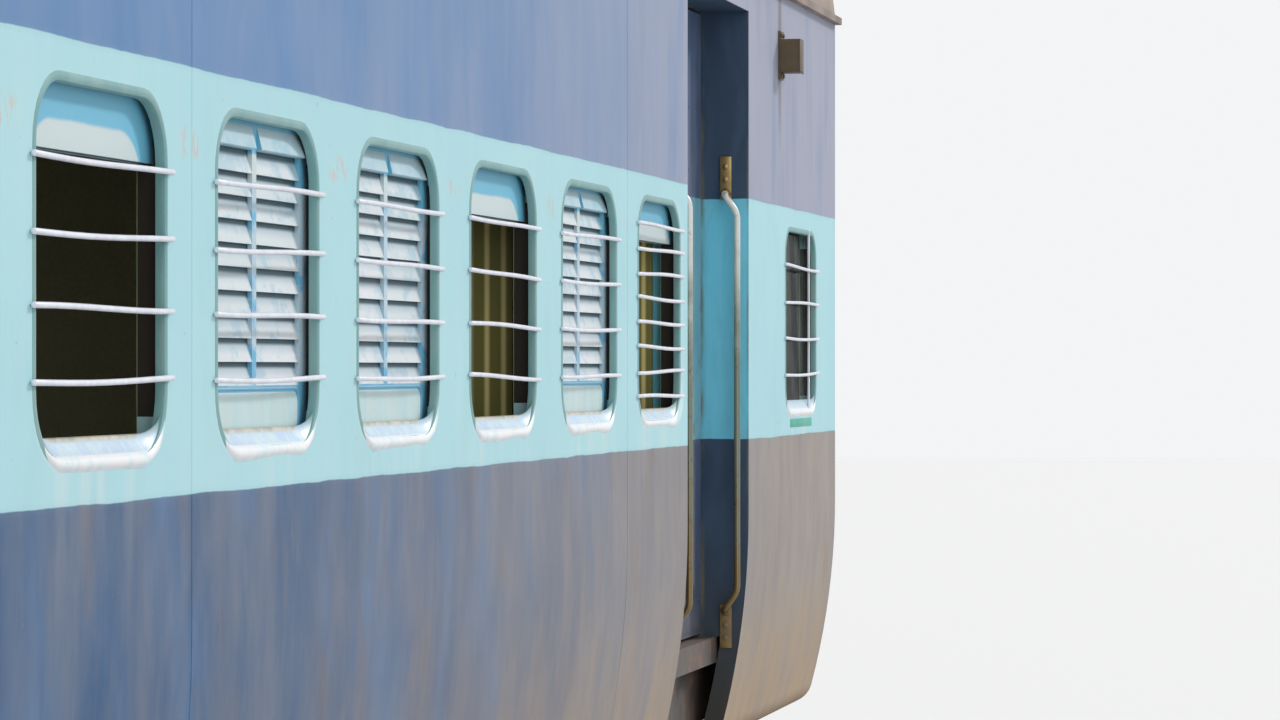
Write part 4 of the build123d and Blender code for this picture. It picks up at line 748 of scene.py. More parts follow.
def door_paint(colours, shape):
    """Dusty blue with the band carried across, grimy at its foot and where hands touch it."""
    made, tree, shader = new_material("Door paint", colours.blue)
    band = use_group(tree, "Paint band", {"Foot": RAIL_Z + shape.band_low, "Head": RAIL_Z + shape.band_high})
    weather = use_group(tree, "Rain and dust", {"Fineness": 14.0})
    blue = blend(weather["Streaks"] * 0.5, (0.06, 0.1, 0.19), (0.17, 0.19, 0.25))
    cyan_paint_and_shade = blend(weather["Streaks"] * 0.5, (0.14, 0.38, 0.47), (0.28, 0.46, 0.5))
    colour = blend(band["Band"], blue, cyan_paint_and_shade)
    grime = ramp(axes(tree)[2], 1.3, 1.9, 0.8, 0.0) * (weather["Clouds"] * 0.6 + 0.4)
    colour = blend(grime, colour, (0.11, 0.085, 0.06))
    hands = ramp(noise(tree, 11.0, detail=6.0), 0.55, 0.75, 0.0, 0.35)
    colour = blend(hands, colour, colours.dark_dirt_and_shade)
    finish(shader, colour, weather["Clouds"] * 0.2 + 0.42, weather["Grain"], 0.0004)
    return made


def iron(colours, name, paint, dust, rust, dust_tone=None):
    """Painted or bare iron with its own share of dust and rust."""
    made, tree, shader = new_material(name, paint)
    values = {"Paint": paint, "Dust Color": dust_tone or colours.sand,
              "Rust Color": colours.rust, "Dust": dust, "Rust": rust}
    group = use_group(tree, "Dusty iron", values)
    finish(shader, group["Color"], group["Roughness"], group["Height"], 0.0012)
    return made


def dusty_paint(colours, name, fresh, faded, roughness, fineness, dust):
    """Paint that fades in streaks, with dust on what faces up."""
    made, tree, shader = new_material(name, fresh)
    weather = use_group(tree, "Rain and dust", {"Fineness": fineness})
    colour = blend(weather["Streaks"] * 0.6 + 0.1, fresh, faded)
    colour = blend(weather["Fine Streaks"] * 0.1, colour, colours.sand)
    colour = blend(ramp(normal(tree, 2), 0.3, 0.95) * dust, colour, colours.sand)
    finish(shader, colour, weather["Clouds"] * 0.2 + roughness, weather["Grain"], 0.0006)
    return made


def roof_paint(colours):
    """Pale dusty roof: brown clouds, streaks that run down to the gutters and dark dirt round the middle."""
    made, tree, shader = new_material("Roof paint", (0.5, 0.42, 0.36))
    x, y, _ = axes(tree)
    wide = ramp(noise(tree, 1.1, (1, 1, 1), 6.0, 0.62), 0.35, 0.68)
    runs = ramp(noise(tree, 9.0, (1.0, 0.09, 0.4), 5.0, 0.65), 0.4, 0.68)
    colour = blend(wide, (0.38, 0.315, 0.27), (0.235, 0.18, 0.14))
    colour = blend(runs * 0.5, colour, (0.43, 0.365, 0.32))
    seam = abs(maths("PINGPONG", x + 0.9, 0.9))
    colour = blend(ramp(seam, 0.003, 0.045, 0.65, 0.0), colour, (0.1, 0.075, 0.06))
    middle = ramp(abs(y), 0.1, 1.0, 0.35, 0.0)
    colour = blend(middle * wide, colour, (0.16, 0.13, 0.11))
    spots = ramp(noise(tree, 6.0, detail=8.0, roughness=0.7), 0.6, 0.7, 0.0, 0.75)
    colour = blend(spots, colour, colours.rust)
    below = (normal(tree, 2) < -0.05) * facing_mask(tree, 2, 0.0, 0.01)
    colour = blend(below, colour, (0.55, 0.52, 0.45))
    height = ramp(seam, 0.006, 0.01, 1.0, 0.0) * 2.5 + runs * 0.3 + noise(tree, 45.0, detail=5.0)
    finish(shader, colour, wide * 0.2 + 0.62, height, gloss=0.12)
    return made


def louvre_paint():
    """Painted shade and light: blue where the wall's edge shades the shutter, and chalky white where the sun
    reaches it.

    The painted sunlight lies inside a rounded window that is a little smaller and lower than the
    opening. The deepest part of each slat, under the slat above, is painted dark as shade.
    """
    made, tree, shader = new_material("Louvre paint", (0.45, 0.6, 0.68))
    _, y, z = axes(tree)
    slope = facing_mask(tree, 2, 0.08, 0.2)
    weather = use_group(tree, "Rain and dust", {"Fineness": 16.0})
    shade = {"Pitch": WINDOW_PITCH, "First": WINDOW_PITCH / 2, "Half Width": WINDOW_HALF[0] - 0.030,
             "Middle": WINDOW_Z - 0.062, "Corner": 0.12}
    reach = use_group(tree, "Window row", shade)["Distance"]
    waver = (noise(tree, 9.0, detail=3.0) - 0.5) * 0.007
    sunny = ramp(reach + waver, -0.004, 0.005, 1.0, 0.0)
    sunlit_pale = blend(weather["Clouds"], (0.6, 0.66, 0.67), (0.7, 0.71, 0.73))
    worn = ramp(noise(tree, 11.0, (1, 1, 1.6), 5.0, 0.65), 0.5, 0.64, 0.0, 0.6)
    slat = blend(worn, sunlit_pale, (0.3, 0.5, 0.6))
    shaded = blend(weather["Clouds"], (0.2, 0.46, 0.58), (0.42, 0.6, 0.66))
    slat = blend(maximum(sunny, 0.45), shaded, slat)
    # Painted shade: saturated blue patches on the stiles, and blue on their lower part
    stile = blend(ramp(noise(tree, 6.0, (1, 1, 2.0), 4.0), 0.48, 0.6), (0.46, 0.6, 0.68), (0.14, 0.42, 0.62))
    stile = blend(ramp(z, WINDOW_Z - 0.18, WINDOW_Z - 0.2), stile, (0.14, 0.42, 0.6))
    # The raised shutter's foot rail at the top of the opening: painted sunlight inside the sunny window,
    # painted shadow outside it
    foot_rail = blend(sunny, (0.14, 0.45, 0.62), (0.56, 0.65, 0.65))
    stile = blend(z > WINDOW_Z + 0.19, stile, foot_rail)
    colour = blend(slope, stile, slat)
    depth = SKIN_Y - abs(y)
    # Painted shade: the slats grow darker with depth, and a dark line lies under each slat
    colour = blend(ramp(depth, 0.033, 0.039, 0.0, 0.55) * slope, colour, (0.26, 0.38, 0.46))
    colour = blend(ramp(depth, 0.0378, 0.04, 0.0, 0.92), colour, (0.035, 0.085, 0.11))
    finish(shader, colour, weather["Grain"] * 0.2 + 0.45, weather["Grain"], 0.0004)
    return made


def sill_paint():
    """White on the outer lip, where hands and rain have rubbed it and as a painted highlight where it turns up
    to the sky, blue on the slope and cream on the inner ledge.
    """
    made, tree, shader = new_material("Sill paint with wear and highlight", (0.75, 0.78, 0.80))
    _, y, z = axes(tree)
    depth = SKIN_Y - abs(y)
    rubbed = noise(tree, 26.0, (1, 1, 0.6), 5.0, 0.65)
    # Painted highlight: the outer lip is white partly for wear and partly for the sky's light on its upturned
    # face
    outer = blend(ramp(rubbed, 0.46, 0.66, 0.0, 0.6), (0.8, 0.8, 0.81), (0.52, 0.72, 0.76))
    slope = blend(ramp(rubbed, 0.4, 0.62), (0.46, 0.6, 0.76), (0.56, 0.7, 0.74))
    ledge = blend(ramp(rubbed, 0.4, 0.64), (0.66, 0.56, 0.43), (0.42, 0.4, 0.33))
    colour = blend(ramp(depth, 0.0, 0.004), outer, slope)
    colour = blend(ramp(depth, 0.0165, 0.0185), colour, ledge)
    raised = ramp(rubbed * 0.03 + z, WINDOW_Z - 0.268, WINDOW_Z - 0.225)
    side = blend(ramp(depth, 0.0, 0.004), (0.42, 0.66, 0.7), (0.13, 0.28, 0.27))
    colour = blend(raised, colour, side)
    finish(shader, colour, rubbed * 0.3 + 0.25, rubbed, 0.0008)
    return made


def rail_paint():
    """Handrail from white paint at its head through grey-green, partly a painted reflection, to golden brown
    where hands have rubbed it.
    """
    made, tree, shader = new_material("Handrail paint", (0.5, 0.48, 0.4))
    height = axes(tree)[2] + (noise(tree, 7.0, detail=5.0) - 0.5) * 0.7
    colour = blend(ramp(height, 1.45, 2.0), (0.21, 0.145, 0.055), (0.2, 0.21, 0.155))
    colour = blend(ramp(height, 2.15, 2.6), colour, (0.74, 0.72, 0.66))
    colour = blend(ramp(noise(tree, 60.0, detail=3.0), 0.6, 0.7, 0.0, 0.5), colour, (0.12, 0.09, 0.05))
    finish(shader, colour, ramp(height, 1.5, 2.6, 0.26, 0.38), noise(tree, 90.0, detail=3.0), 0.0003)
    feed(ramp(height, 1.6, 2.4, 0.55, 0.1), shader.inputs["Metallic"])
    return made


def dusty_glass():
    """Thin dusty glass: tinted clear glass whose dust film covers it in clouds."""
    made, tree, shader = new_material("Dusty window glass", (0.3, 0.4, 0.42))
    film = ramp(noise(tree, 3.5, (1, 1, 0.5), 6.0, 0.6), 0.35, 0.75, 0.03, 0.18)
    colour = blend(film, (0.06, 0.09, 0.08), (0.42, 0.42, 0.36))
    finish(shader, colour, ramp(film, 0.1, 0.4, 0.06, 0.35), gloss=0.2)
    feed(clamped(film + 0.06), shader.inputs["Alpha"])
    return made


def bare_metal(name, colour, roughness, brushed=0.2):
    """Worn metal with fine rubbed marks and dirt in clouds."""
    made, tree, shader = new_material(name, colour)
    marks = noise(tree, 90.0, (1, 1, 0.15), 4.0, 0.6)
    dirt = ramp(noise(tree, 8.0, detail=6.0), 0.45, 0.7)
    mixed = blend(dirt * 0.6, colour, (0.1, 0.075, 0.05))
    finish(shader, mixed, dirt * 0.3 + roughness, marks, 0.0002 * (1 + brushed))
    feed(ramp(dirt, 0.0, 1.0, 1.0, 0.25), shader.inputs["Metallic"])
    return made


def wheel_metal(colours):
    """Rusty web, and a bright tread where the wheel runs on the rail."""
    made, tree, shader = new_material("Wheel steel", (0.25, 0.18, 0.14))
    values = {"Paint": (0.1, 0.065, 0.045), "Dust Color": colours.sand, "Rust Color": colours.rust,
              "Dust": 0.45, "Rust": 0.8}
    group = use_group(tree, "Dusty iron", values)
    place = add(tree, "Attribute", "Fac", attribute_name="tread")
    worn = place * ramp(noise(tree, 40.0, (1, 0.1, 1), 3.0), 0.2, 0.5, 0.7, 1.0)
    colour = blend(worn, group["Color"], (0.62, 0.6, 0.57))
    rough = clamped(worn * -0.45 + group["Roughness"])
    finish(shader, colour, rough, group["Height"], 0.0008)
    feed(worn, shader.inputs["Metallic"])
    return made


def vinyl(colours):
    """Berth vinyl: fine leather grain, rubbed paler where people sit."""
    made, tree, shader = new_material("Berth vinyl", colours.vinyl)
    place = add(tree, "TexCoord", "Object")
    cells = add(tree, "TexVoronoi", "Distance", {"Scale": 420.0, "Vector": place}, feature="DISTANCE_TO_EDGE")
    rubbed = ramp(noise(tree, 3.0, detail=5.0), 0.42, 0.7, 0.0, 0.6)
    colour = blend(rubbed, colours.vinyl, (0.09, 0.17, 0.28))
    finish(shader, colour, rubbed * 0.2 + 0.38, cells, 0.0006)
    return made


def laminate():
    """Tan decorative laminate with a faint fleck, upright cover strips and grubby patches."""
    made, tree, shader = new_material("Tan laminate", (0.45, 0.38, 0.27))
    y = axes(tree)[1]
    fleck = ramp(noise(tree, 130.0, detail=2.0), 0.45, 0.6, 0.0, 0.35)
    colour = blend(fleck, (0.56, 0.52, 0.31), (0.44, 0.4, 0.21))
    away = abs(y)
    shaded = ramp(away, 1.285, 1.315) * ramp(away, 1.425, 1.435, 1.0, 0.0)
    colour = blend(shaded * 0.85, colour, (0.1, 0.19, 0.075))
    strip = ramp(maths("PINGPONG", y, 0.021), 0.002, 0.01, 1.0, 0.0)
    by_wall = ramp(away, 1.43, 1.44)
    colour = blend(by_wall, colour, (0.26, 0.24, 0.07))
    colour = blend(strip * by_wall, colour, (0.95, 0.82, 0.34))
    grime = ramp(noise(tree, 2.0, detail=5.0), 0.5, 0.75, 0.0, 0.4)
    colour = blend(grime, colour, (0.16, 0.15, 0.08))
    finish(shader, colour, grime * 0.3 + 0.35, fleck, 0.0001)
    return made


def step_metal(colours):
    """Step plates: raised bars on the treads, polished by shoes, with dust between them."""
    made, tree, shader = new_material("Step steel", (0.45, 0.38, 0.3))
    x, y, _ = axes(tree)
    crossed = maximum(maths("SINE", (x + y) * 190.0), maths("SINE", (x - y) * 190.0))
    raised = ramp(crossed, 0.55, 0.95) * facing_mask(tree, 2, 0.8, 0.95)
    values = {"Paint": (0.1, 0.08, 0.065), "Dust Color": (0.52, 0.38, 0.27), "Rust Color": colours.rust,
              "Dust": 1.0, "Rust": 0.6}
    group = use_group(tree, "Dusty iron", values)
    colour = blend(raised * 0.6, group["Color"], (0.55, 0.47, 0.38))
    finish(shader, colour, raised * -0.25 + group["Roughness"], raised, 0.0012)
    return made


def canvas():
    """Black rubbered canvas: a woven grain, dusty on the outer folds."""
    made, tree, shader = new_material("Bellows canvas", (0.06, 0.055, 0.05))
    x, y, z = axes(tree)
    warp = maths("SINE", (y + z) * 2600.0)
    weft = maths("SINE", x * 2600.0)
    dust = ramp(noise(tree, 3.0, detail=6.0), 0.4, 0.72, 0.05, 0.55)
    colour = blend(dust, (0.022, 0.021, 0.02), (0.2, 0.16, 0.12))
    finish(shader, colour, dust * 0.3 + 0.55, warp * weft, 0.0002)
    return made


MATERIALS = {}

# Paints that fade: name, fresh colour, faded colour, roughness, fineness of the streaks, dust
FADING_PAINTS = {
    # End walls near black: partly dirt, partly painted shade
    "end": ("End wall paint", (0.036, 0.047, 0.044), (0.062, 0.070, 0.064), 0.6, 6.0, 0.6),
    "vent": ("Ventilator paint", (0.20, 0.16, 0.13), (0.33, 0.27, 0.22), 0.7, 8.0, 0.25),
    "gutter": ("Gutter paint", (0.16, 0.12, 0.11), (0.34, 0.27, 0.23), 0.6, 6.0, 0.5),
    "bar": ("Bar paint", (0.78, 0.80, 0.86), (0.64, 0.66, 0.74), 0.32, 30.0, 0.05),
    "sash": ("Sash paint", (0.36, 0.60, 0.68), (0.52, 0.70, 0.74), 0.42, 20.0, 0.1),
    "shutter_panel": ("Shutter panel", (0.44, 0.62, 0.64), (0.56, 0.68, 0.67), 0.42, 9.0, 0.05),
    # The shutter's pale paint as painted shade, for the beads round the foot panels
    "shutter_shade_blue": ("Shutter shade blue", (0.12, 0.38, 0.55), (0.20, 0.46, 0.60), 0.42, 9.0, 0.05),
    "lip": ("Window edge paint", (0.14, 0.32, 0.33), (0.22, 0.40, 0.39), 0.4, 14.0, 0.1),
    "board": ("Route board yellow", (0.55, 0.36, 0.06), (0.62, 0.47, 0.18), 0.5, 10.0, 0.3),
    "berth": ("Berth frame grey", (0.22, 0.25, 0.27), (0.30, 0.32, 0.33), 0.4, 12.0, 0.2),
    "green": ("Blank green strip", (0.03, 0.36, 0.27), (0.08, 0.42, 0.33), 0.45, 20.0, 0.0),
}

# Irons: name, colour, dust, rust, and the dust's colour where it has its own
IRONS = {
    "bracket": ("Bracket brown", (0.060, 0.040, 0.014), 0.25, 0.5),
    "frame": ("Underframe black", (0.034, 0.034, 0.036), 0.62, 0.40),
    "bogie": ("Bogie black", (0.036, 0.033, 0.031), 0.85, 0.55),
    "casting": ("Brown castings", (0.060, 0.042, 0.032), 0.9, 0.9),
    "spring": ("Spring steel", (0.030, 0.028, 0.028), 0.55, 0.40),
    "draw": ("Draw gear steel", (0.035, 0.030, 0.026), 0.5, 0.6),
    "tank": ("Tank black", (0.028, 0.030, 0.033), 0.75, 0.25),
    "bolt": ("Greasy bolts", (0.022, 0.018, 0.015), 0.30, 0.7),
    "axle": ("Axle steel", (0.09, 0.065, 0.05), 0.8, 0.7),
    "floor": ("Floor plate", (0.045, 0.038, 0.034), 0.6, 0.5, (0.22, 0.17, 0.13)),
    "box": ("Battery box black", (0.045, 0.038, 0.032), 0.8, 0.5),
}


def make_materials(shape, colours):
    """Builds the shared groups and every material, and keeps them by name."""
    make_weather_group()
    make_band_group()
    make_opening_group()
    make_livery_group(shape, colours)
    make_iron_group()
    saloon = {"Pitch": WINDOW_PITCH, "First": WINDOW_PITCH / 2, "Middle": WINDOW_Z}
    cabin = {"Pitch": 2 * LAVATORY_X, "First": LAVATORY_X, "Half Width": LAVATORY_HALF[0],
             "Half Height": LAVATORY_HALF[1], "Corner": LAVATORY_CORNER, "Middle": WINDOW_Z}
    MATERIALS.update({key: dusty_paint(colours, *row) for key, row in FADING_PAINTS.items()})
    MATERIALS.update({key: iron(colours, *row) for key, row in IRONS.items()})
    MATERIALS.update({
        "wall": body_paint("Side wall paint", colours, saloon),
        "corner": body_paint("Corner panel paint", colours, cabin, 0.12),
        "portal": portal_paint(colours, shape),
        "door": door_paint(colours, shape),
        "roof": roof_paint(colours),
        "louvre": louvre_paint(),
        "glass": dusty_glass(),
        "sill": sill_paint(),
        "rail": rail_paint(),
        "brass": bare_metal("Bracket brass", (0.36, 0.25, 0.11), 0.42),
        "buffer": bare_metal("Buffer steel", (0.16, 0.13, 0.11), 0.45),
        "wheel": wheel_metal(colours),
        "step": step_metal(colours),
        "laminate": laminate(),
        "vinyl": vinyl(colours),
        "canvas": canvas(),
    })


# Which material each node of the model takes
NODE_FINISH = {
    "wall": ("side_wall_left", "side_wall_right"),
    "corner": ("corner_panels",),
    "end": ("end_wall_front", "end_wall_rear"),
    "portal": ("door_portals",),
    "door": ("door_front_left", "door_front_right", "door_rear_left", "door_rear_right"),
    "roof": ("roof",),
    "vent": ("roof_ventilators",),
    "gutter": ("rain_gutters",),
    "louvre": ("louvre_shutters",),
    "sash": ("glass_sashes",),
    "glass": ("window_panes",),
    "bracket": ("lamp_brackets",),
    "board": ("route_boards",),
    "frame": ("underframe", "gangway_faceplates", "buffer_casings"),
    "draw": ("draw_gear",),
    "buffer": ("buffer_heads",),
    "step": ("footsteps",),
    "floor": ("trough_floor",),
    "laminate": ("vestibule_partitions", "lavatory_walls", "bay_partitions"),
    "berth": ("berth_frames",),
    "box": ("battery_boxes", "brake_equipment"),
    "casting": ("lavatory_chutes", "bogie_front_axle_boxes", "bogie_rear_axle_boxes",
                "bogie_front_brake_gear", "bogie_rear_brake_gear"),
    "bogie": ("bogie_front_frame", "bogie_rear_frame", "bogie_front_bolster", "bogie_rear_bolster",
              "bogie_front_spring_plank", "bogie_rear_spring_plank"),
    "axle": ("axle_front_inner", "axle_front_outer", "axle_rear_inner", "axle_rear_outer"),
    "wheel": ("wheels_front_inner", "wheels_front_outer", "wheels_rear_inner", "wheels_rear_outer"),
    "bar": ("window_bars_left", "window_bars_right"),
    "rail": ("door_handrails",),
    "vinyl": ("berth_pads",),
    "canvas": ("gangway_bellows",),
    "spring": ("bogie_front_springs", "bogie_rear_springs"),
}


class PaintCoach(bpy.types.Operator):
    """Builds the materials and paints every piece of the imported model"""

    bl_idname = "coach.paint"
    bl_label = "Paint the model"

    def execute(self, context):
        make_materials(context.scene.coach_shape, context.scene.coach_colours)
        for finish_name, names in NODE_FINISH.items():
            for name in names:
                node = NODES[name]
                node.data.materials.clear()
                node.data.materials.append(MATERIALS[finish_name])
        return {"FINISHED"}


class WindowBars(bpy.types.Operator):
    """Round bars, each bent a little, across every window, with an upright in the lavatory windows"""

    bl_idname = "coach.window_bars"
    bl_label = "Window bars"

    def execute(self, context):
        shape = context.scene.coach_shape
        random = np.random.default_rng(7)
        for side, label in HANDS:
            level, upright = [], []
            for x, half, _ in window_rows(side):
                count, pitch = (8, 0.067) if half is DOOR_SIDE_HALF else (4, 0.119)
                reach = half[0] + BAR_LAP - shape.bar_radius
                share = np.linspace(-1, 1, 9)
                for number in range(count):
                    z = WINDOW_Z + (number - (count - 1) / 2) * pitch
                    wave = random.normal(0, 1, (4, 1)) * shape.bar_wave
                    rise, dent = np.sin(share * 2.1 + wave[0] * 900), 0.6 * np.cos(share * 1.7 + wave[1] * 900)
                    level.append(np.stack([
                        x + share * reach,
                        -(SKIN_Y + 0.0005 + shape.bar_radius) + 0.0006 * np.minimum(dent, 0),
                        z + rise * shape.bar_wave + wave[2, 0] * share,
                    ], -1))
                if half is LAVATORY_HALF:
                    z = WINDOW_Z + np.linspace(-1, 1, 9) * reach
                    shift = 0.165 if x > 0 else -0.165
                    ones = np.ones(9)
                    upright.append(np.stack([(x + shift) * ones, -(SKIN_Y - 0.002) * ones, z], -1))
            rods = bar(np.array(level), shape.bar_radius, (0, 0, 1), 10)
            posts = bar(np.array(upright), shape.bar_radius * 0.9, (0, 1, 0), 10)
            sheets = [(facing(points, side), False, True) for points, _, _ in (rods, posts)]
            made = piece(f"window_rods_{label}", sheets, "coach", MATERIALS["bar"])
            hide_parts(f"window_bars_{label}")
        return {"FINISHED"}


class WindowEdges(bpy.types.Operator):
    """Pressed lips round the window openings, with flared sills at their feet"""

    bl_idname = "coach.window_edges"
    bl_label = "Window lips and sills"

    def execute(self, context):
        lip = [(-0.0055, -0.0165), (-0.0060, -0.0040), (-0.0040, 0.0002), (0.0000, 0.0020),
               (0.0050, 0.0022), (0.0115, 0.0002), (0.0115, -0.0030), (0.0005, -0.0165)]
        sill = np.array([
            (-0.036, -0.0225), (-0.034, -0.0185), (-0.026, -0.0170), (-0.006, -0.0020), (-0.001, 0.0045),
            (0.005, 0.0080), (0.011, 0.0076), (0.016, 0.0045), (0.021, 0.0006), (0.021, -0.0015),
            (0.004, -0.0060), (-0.016, -0.0200), (-0.032, -0.0260),
        ])
        random = np.random.default_rng(19)
        rise = np.array([0.06, 0.042, 0.026, 0.012])
        lips, sills = [], []
        for side in SIDES:
            for x, half, corner in window_rows(side):
                outline, outward = rounded_rectangle(half, corner)
                ring = wall_ring(outline + (x, WINDOW_Z), outward, lip, -SKIN_Y)
                lips.append(facing(ring, side))
                # Up the left side a little, round the left corner, along the foot, and the same on the right
                left = outline[18] + np.outer(rise, (0, 1))
                right = outline[35] + np.outer(rise[::-1], (0, 1))
                middle = np.linspace(outline[26], outline[27], 7)[1:-1]
                route = np.concatenate([left, outline[18:27], middle, outline[27:], right])
                ways = np.concatenate([
                    np.tile(outward[18], (4, 1)), outward[18:27], np.tile(outward[26], (5, 1)),
                    outward[27:], np.tile(outward[35], (4, 1)),
                ])
                footness = np.clip(-ways[:, 1], 0, 1)
                flare = np.concatenate([
                    [0.0, 0.02, 0.05, 0.08], np.linspace(0.1, 0.95, 9) ** 1.3, np.full(5, 0.88),
                    np.linspace(1.0, 0.25, 9), [0.18, 0.12, 0.06, 0.0],
                ])
                dents = np.convolve(random.normal(0, 1, len(route) + 2), (0.25, 0.5, 0.25), "valid")
                reach = flare * (1 + 0.18 * dents)
                depth = 0.62 if half is LAVATORY_HALF else 1.0
                inward = 0.02 + 0.98 * footness[:, None] ** 2.2
                out = np.where(sill[:, 0] < 0, sill[:, 0] * inward, sill[:, 0] * reach[:, None])
                high = np.where(sill[:, 1] > 0, sill[:, 1] * reach[:, None] - 0.003 * (1 - flare[:, None]),
                                sill[:, 1] * depth * np.maximum(inward, 0.2))
                flat = route[:, None, :] + (x, WINDOW_Z) + ways[:, None, :] * out[..., None]
                run = np.stack([flat[..., 0], -SKIN_Y - high, flat[..., 1]], -1)
                sills.append(facing(run, side))
        piece("window_lips", [(np.array(lips), True, True)], "coach", MATERIALS["lip"])
        piece("window_sills", [(np.array(sills), False, True)], "coach", MATERIALS["sill"])
        return {"FINISHED"}


class Handrails(bpy.types.Operator):
    """Bent handrails in the door recesses, with bolted brackets at both ends"""

    bl_idname = "coach.handrails"
    bl_label = "Door handrails"

    def execute(self, context):
        shape = context.scene.coach_shape
        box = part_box("door_handrails")
        outer_x, top_z, foot_z = box[1].x, box[1].z - 0.015, box[0].z + 0.015
        inner_x = outer_x - 0.965
        jambs = ((outer_x, -1), (inner_x, 1))
        root_y = SKIN_Y - 0.072
        rails, blocks, bolts = [], [], []
        for jamb_x, inward in jambs:
            rail_x, rail_y = jamb_x + inward * 0.045, SKIN_Y - (0.028 if inward < 0 else 0.004)
            route = [(jamb_x, root_y, top_z), (rail_x, root_y, top_z), (rail_x, rail_y, top_z - 0.06),
                     (rail_x, rail_y, foot_z + 0.06), (rail_x, root_y, foot_z), (jamb_x, root_y, foot_z)]
            rails.append(rounded_route(route, 0.022))
            for z, away in ((top_z, 1), (foot_z, -1)):
                low_x, high_x = sorted((jamb_x, jamb_x + inward * 0.007))
                blocks.append(((low_x, root_y - 0.019, z + (0 if away > 0 else -0.1) - 0.018),
                               (high_x, root_y + 0.019, z + (0.1 if away > 0 else 0) + 0.018)))
                for step in (0.045, 0.085):
                    bolts.append((jamb_x + inward * 0.007, root_y, z + away * step, inward))
        for name, route in (("door_rails_outer", rails[0]), ("door_rails_inner", rails[1])):
            sheets = copied(four_corners, bar(route, shape.rail_radius, (0, 1, 0.2), 16))
            made = piece(name, sheets, "coach", MATERIALS["rail"])
            if name == "door_rails_outer":
                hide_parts("door_handrails")
        head = [(0, 0), (0, 0.009), (0.004, 0.009), (0.0065, 0.005), (0.007, 0)]
        heads = [turned(head, (x, y, z), (inward, 0, 0), 10)[0] for x, y, z, inward in bolts]
        collar = [(0, 0), (0, 0.019), (0.006, 0.018), (0.014, 0.0125), (0.014, 0)]
        collars = [turned(collar, (jamb_x, root_y, z), (inward, 0, 0), 16)[0]
                   for jamb_x, inward in jambs for z in (top_z, foot_z)]
        sheets = copied(four_corners, plates(blocks, 0.003), (np.array(heads), False, True),
                        (np.array(collars), False, True))
        piece("rail_brackets", sheets, "coach", MATERIALS["brass"])
        return {"FINISHED"}


class ShutterPanels(bpy.types.Operator):
    """Pressed panels with beads on the feet of the lowered shutters, and the top slat of each column"""

    bl_idname = "coach.shutter_panels"
    bl_label = "Shutter panels"

    def execute(self, context):
        low, high = solid_boxes("louvre_shutters")
        lowered = (high - low)[:, 2] > 0.45
        lowered &= low[:, 2] < WINDOW_Z - 0.2
        middle = (low + high)[lowered] / 2
        half_x = (high - low)[lowered][:, 0] / 2 - 0.062
        side = np.sign(middle[:, 1])
        panels, beads = [], []
        for x, reach, facing_side in zip(middle[:, 0], half_x, side):
            outline, outward = rounded_rectangle((reach, 0.040), 0.020, 4)
            place = (x * -facing_side, WINDOW_Z - 0.243)
            shares = np.array([(0.0, -0.002), (0.0, 0.0012), (-0.003, 0.0024), (-0.010, 0.0026)])
            rows = wall_ring(outline + place, outward, shares, -SHUTTER_Y)
            hub = np.broadcast_to(np.array([place[0], -SHUTTER_Y - 0.0026, place[1]]), rows[:, :1].shape)
            back = hub + (0, 0.0046, 0)
            panels.append(facing(np.concatenate([back, rows, hub], 1), facing_side))
            bead = [(0.004, -0.001), (0.0045, 0.0022), (0.007, 0.0034), (0.0095, 0.0022), (0.010, -0.001)]
            beads.append(facing(wall_ring(outline + place, outward, bead, -SHUTTER_Y), facing_side))
        panels, beads = (np.array(panels), True, False), (np.array(beads), True, True)
        piece("shutter_panels", [panels], "coach", MATERIALS["shutter_panel"], 50)
        # The beads carry the painted shade blue
        piece("shutter_beads", [beads], "coach", MATERIALS["shutter_shade_blue"], 50)
        # One more slat in each column, where the shutter's top rail would show
        slats = []
        section = np.array([
            (0.0, 0.294), (0.0105, 0.2525), (0.0085, 0.2505), (-0.003, 0.2505), (-0.003, 0.294),
        ])
        for x, reach, facing_side in zip(middle[:, 0], half_x, side):
            for column in (-1, 1):
                ends = np.array([0.016, reach + 0.030]) * column + x * -facing_side
                rows = np.stack([np.broadcast_to(np.sort(ends)[:, None], (2, 5)),
                                 np.broadcast_to(-SHUTTER_Y - section[:, 0], (2, 5)),
                                 np.broadcast_to(WINDOW_Z + section[:, 1], (2, 5))], -1)
                hubs = np.broadcast_to(rows.mean(1, keepdims=True), rows.shape)
                slats.append(facing(np.concatenate([hubs[:1], rows, hubs[1:]]), facing_side))
        piece("top_slats", [(np.array(slats), False, True)], "coach", MATERIALS["louvre"], 30)
        return {"FINISHED"}


class BerthCushions(bpy.types.Operator):
    """Crowned vinyl cushions on the berths and backrests"""

    bl_idname = "coach.cushions"
    bl_label = "Berth cushions"

    def execute(self, context):
        low, high = solid_boxes("berth_pads")
        flat = (high - low)[:, 2] < 0.12
        seat_low, seat_high = low[flat] + (0.004, 0.004, 0.0), high[flat] - (0.004, 0.004, 0.012)
        seats = rounded_blocks(seat_low, seat_high, 0.022, 3, 0.011, 4)
        inset = (0.003, 0.004, 0.004)
        backs = rounded_blocks(low[~flat] + inset, high[~flat] - inset, 0.018, 3)
        made = piece("berth_cushions", [seats, backs], "coach", MATERIALS["vinyl"], 60)
        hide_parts("berth_pads")
        return {"FINISHED"}


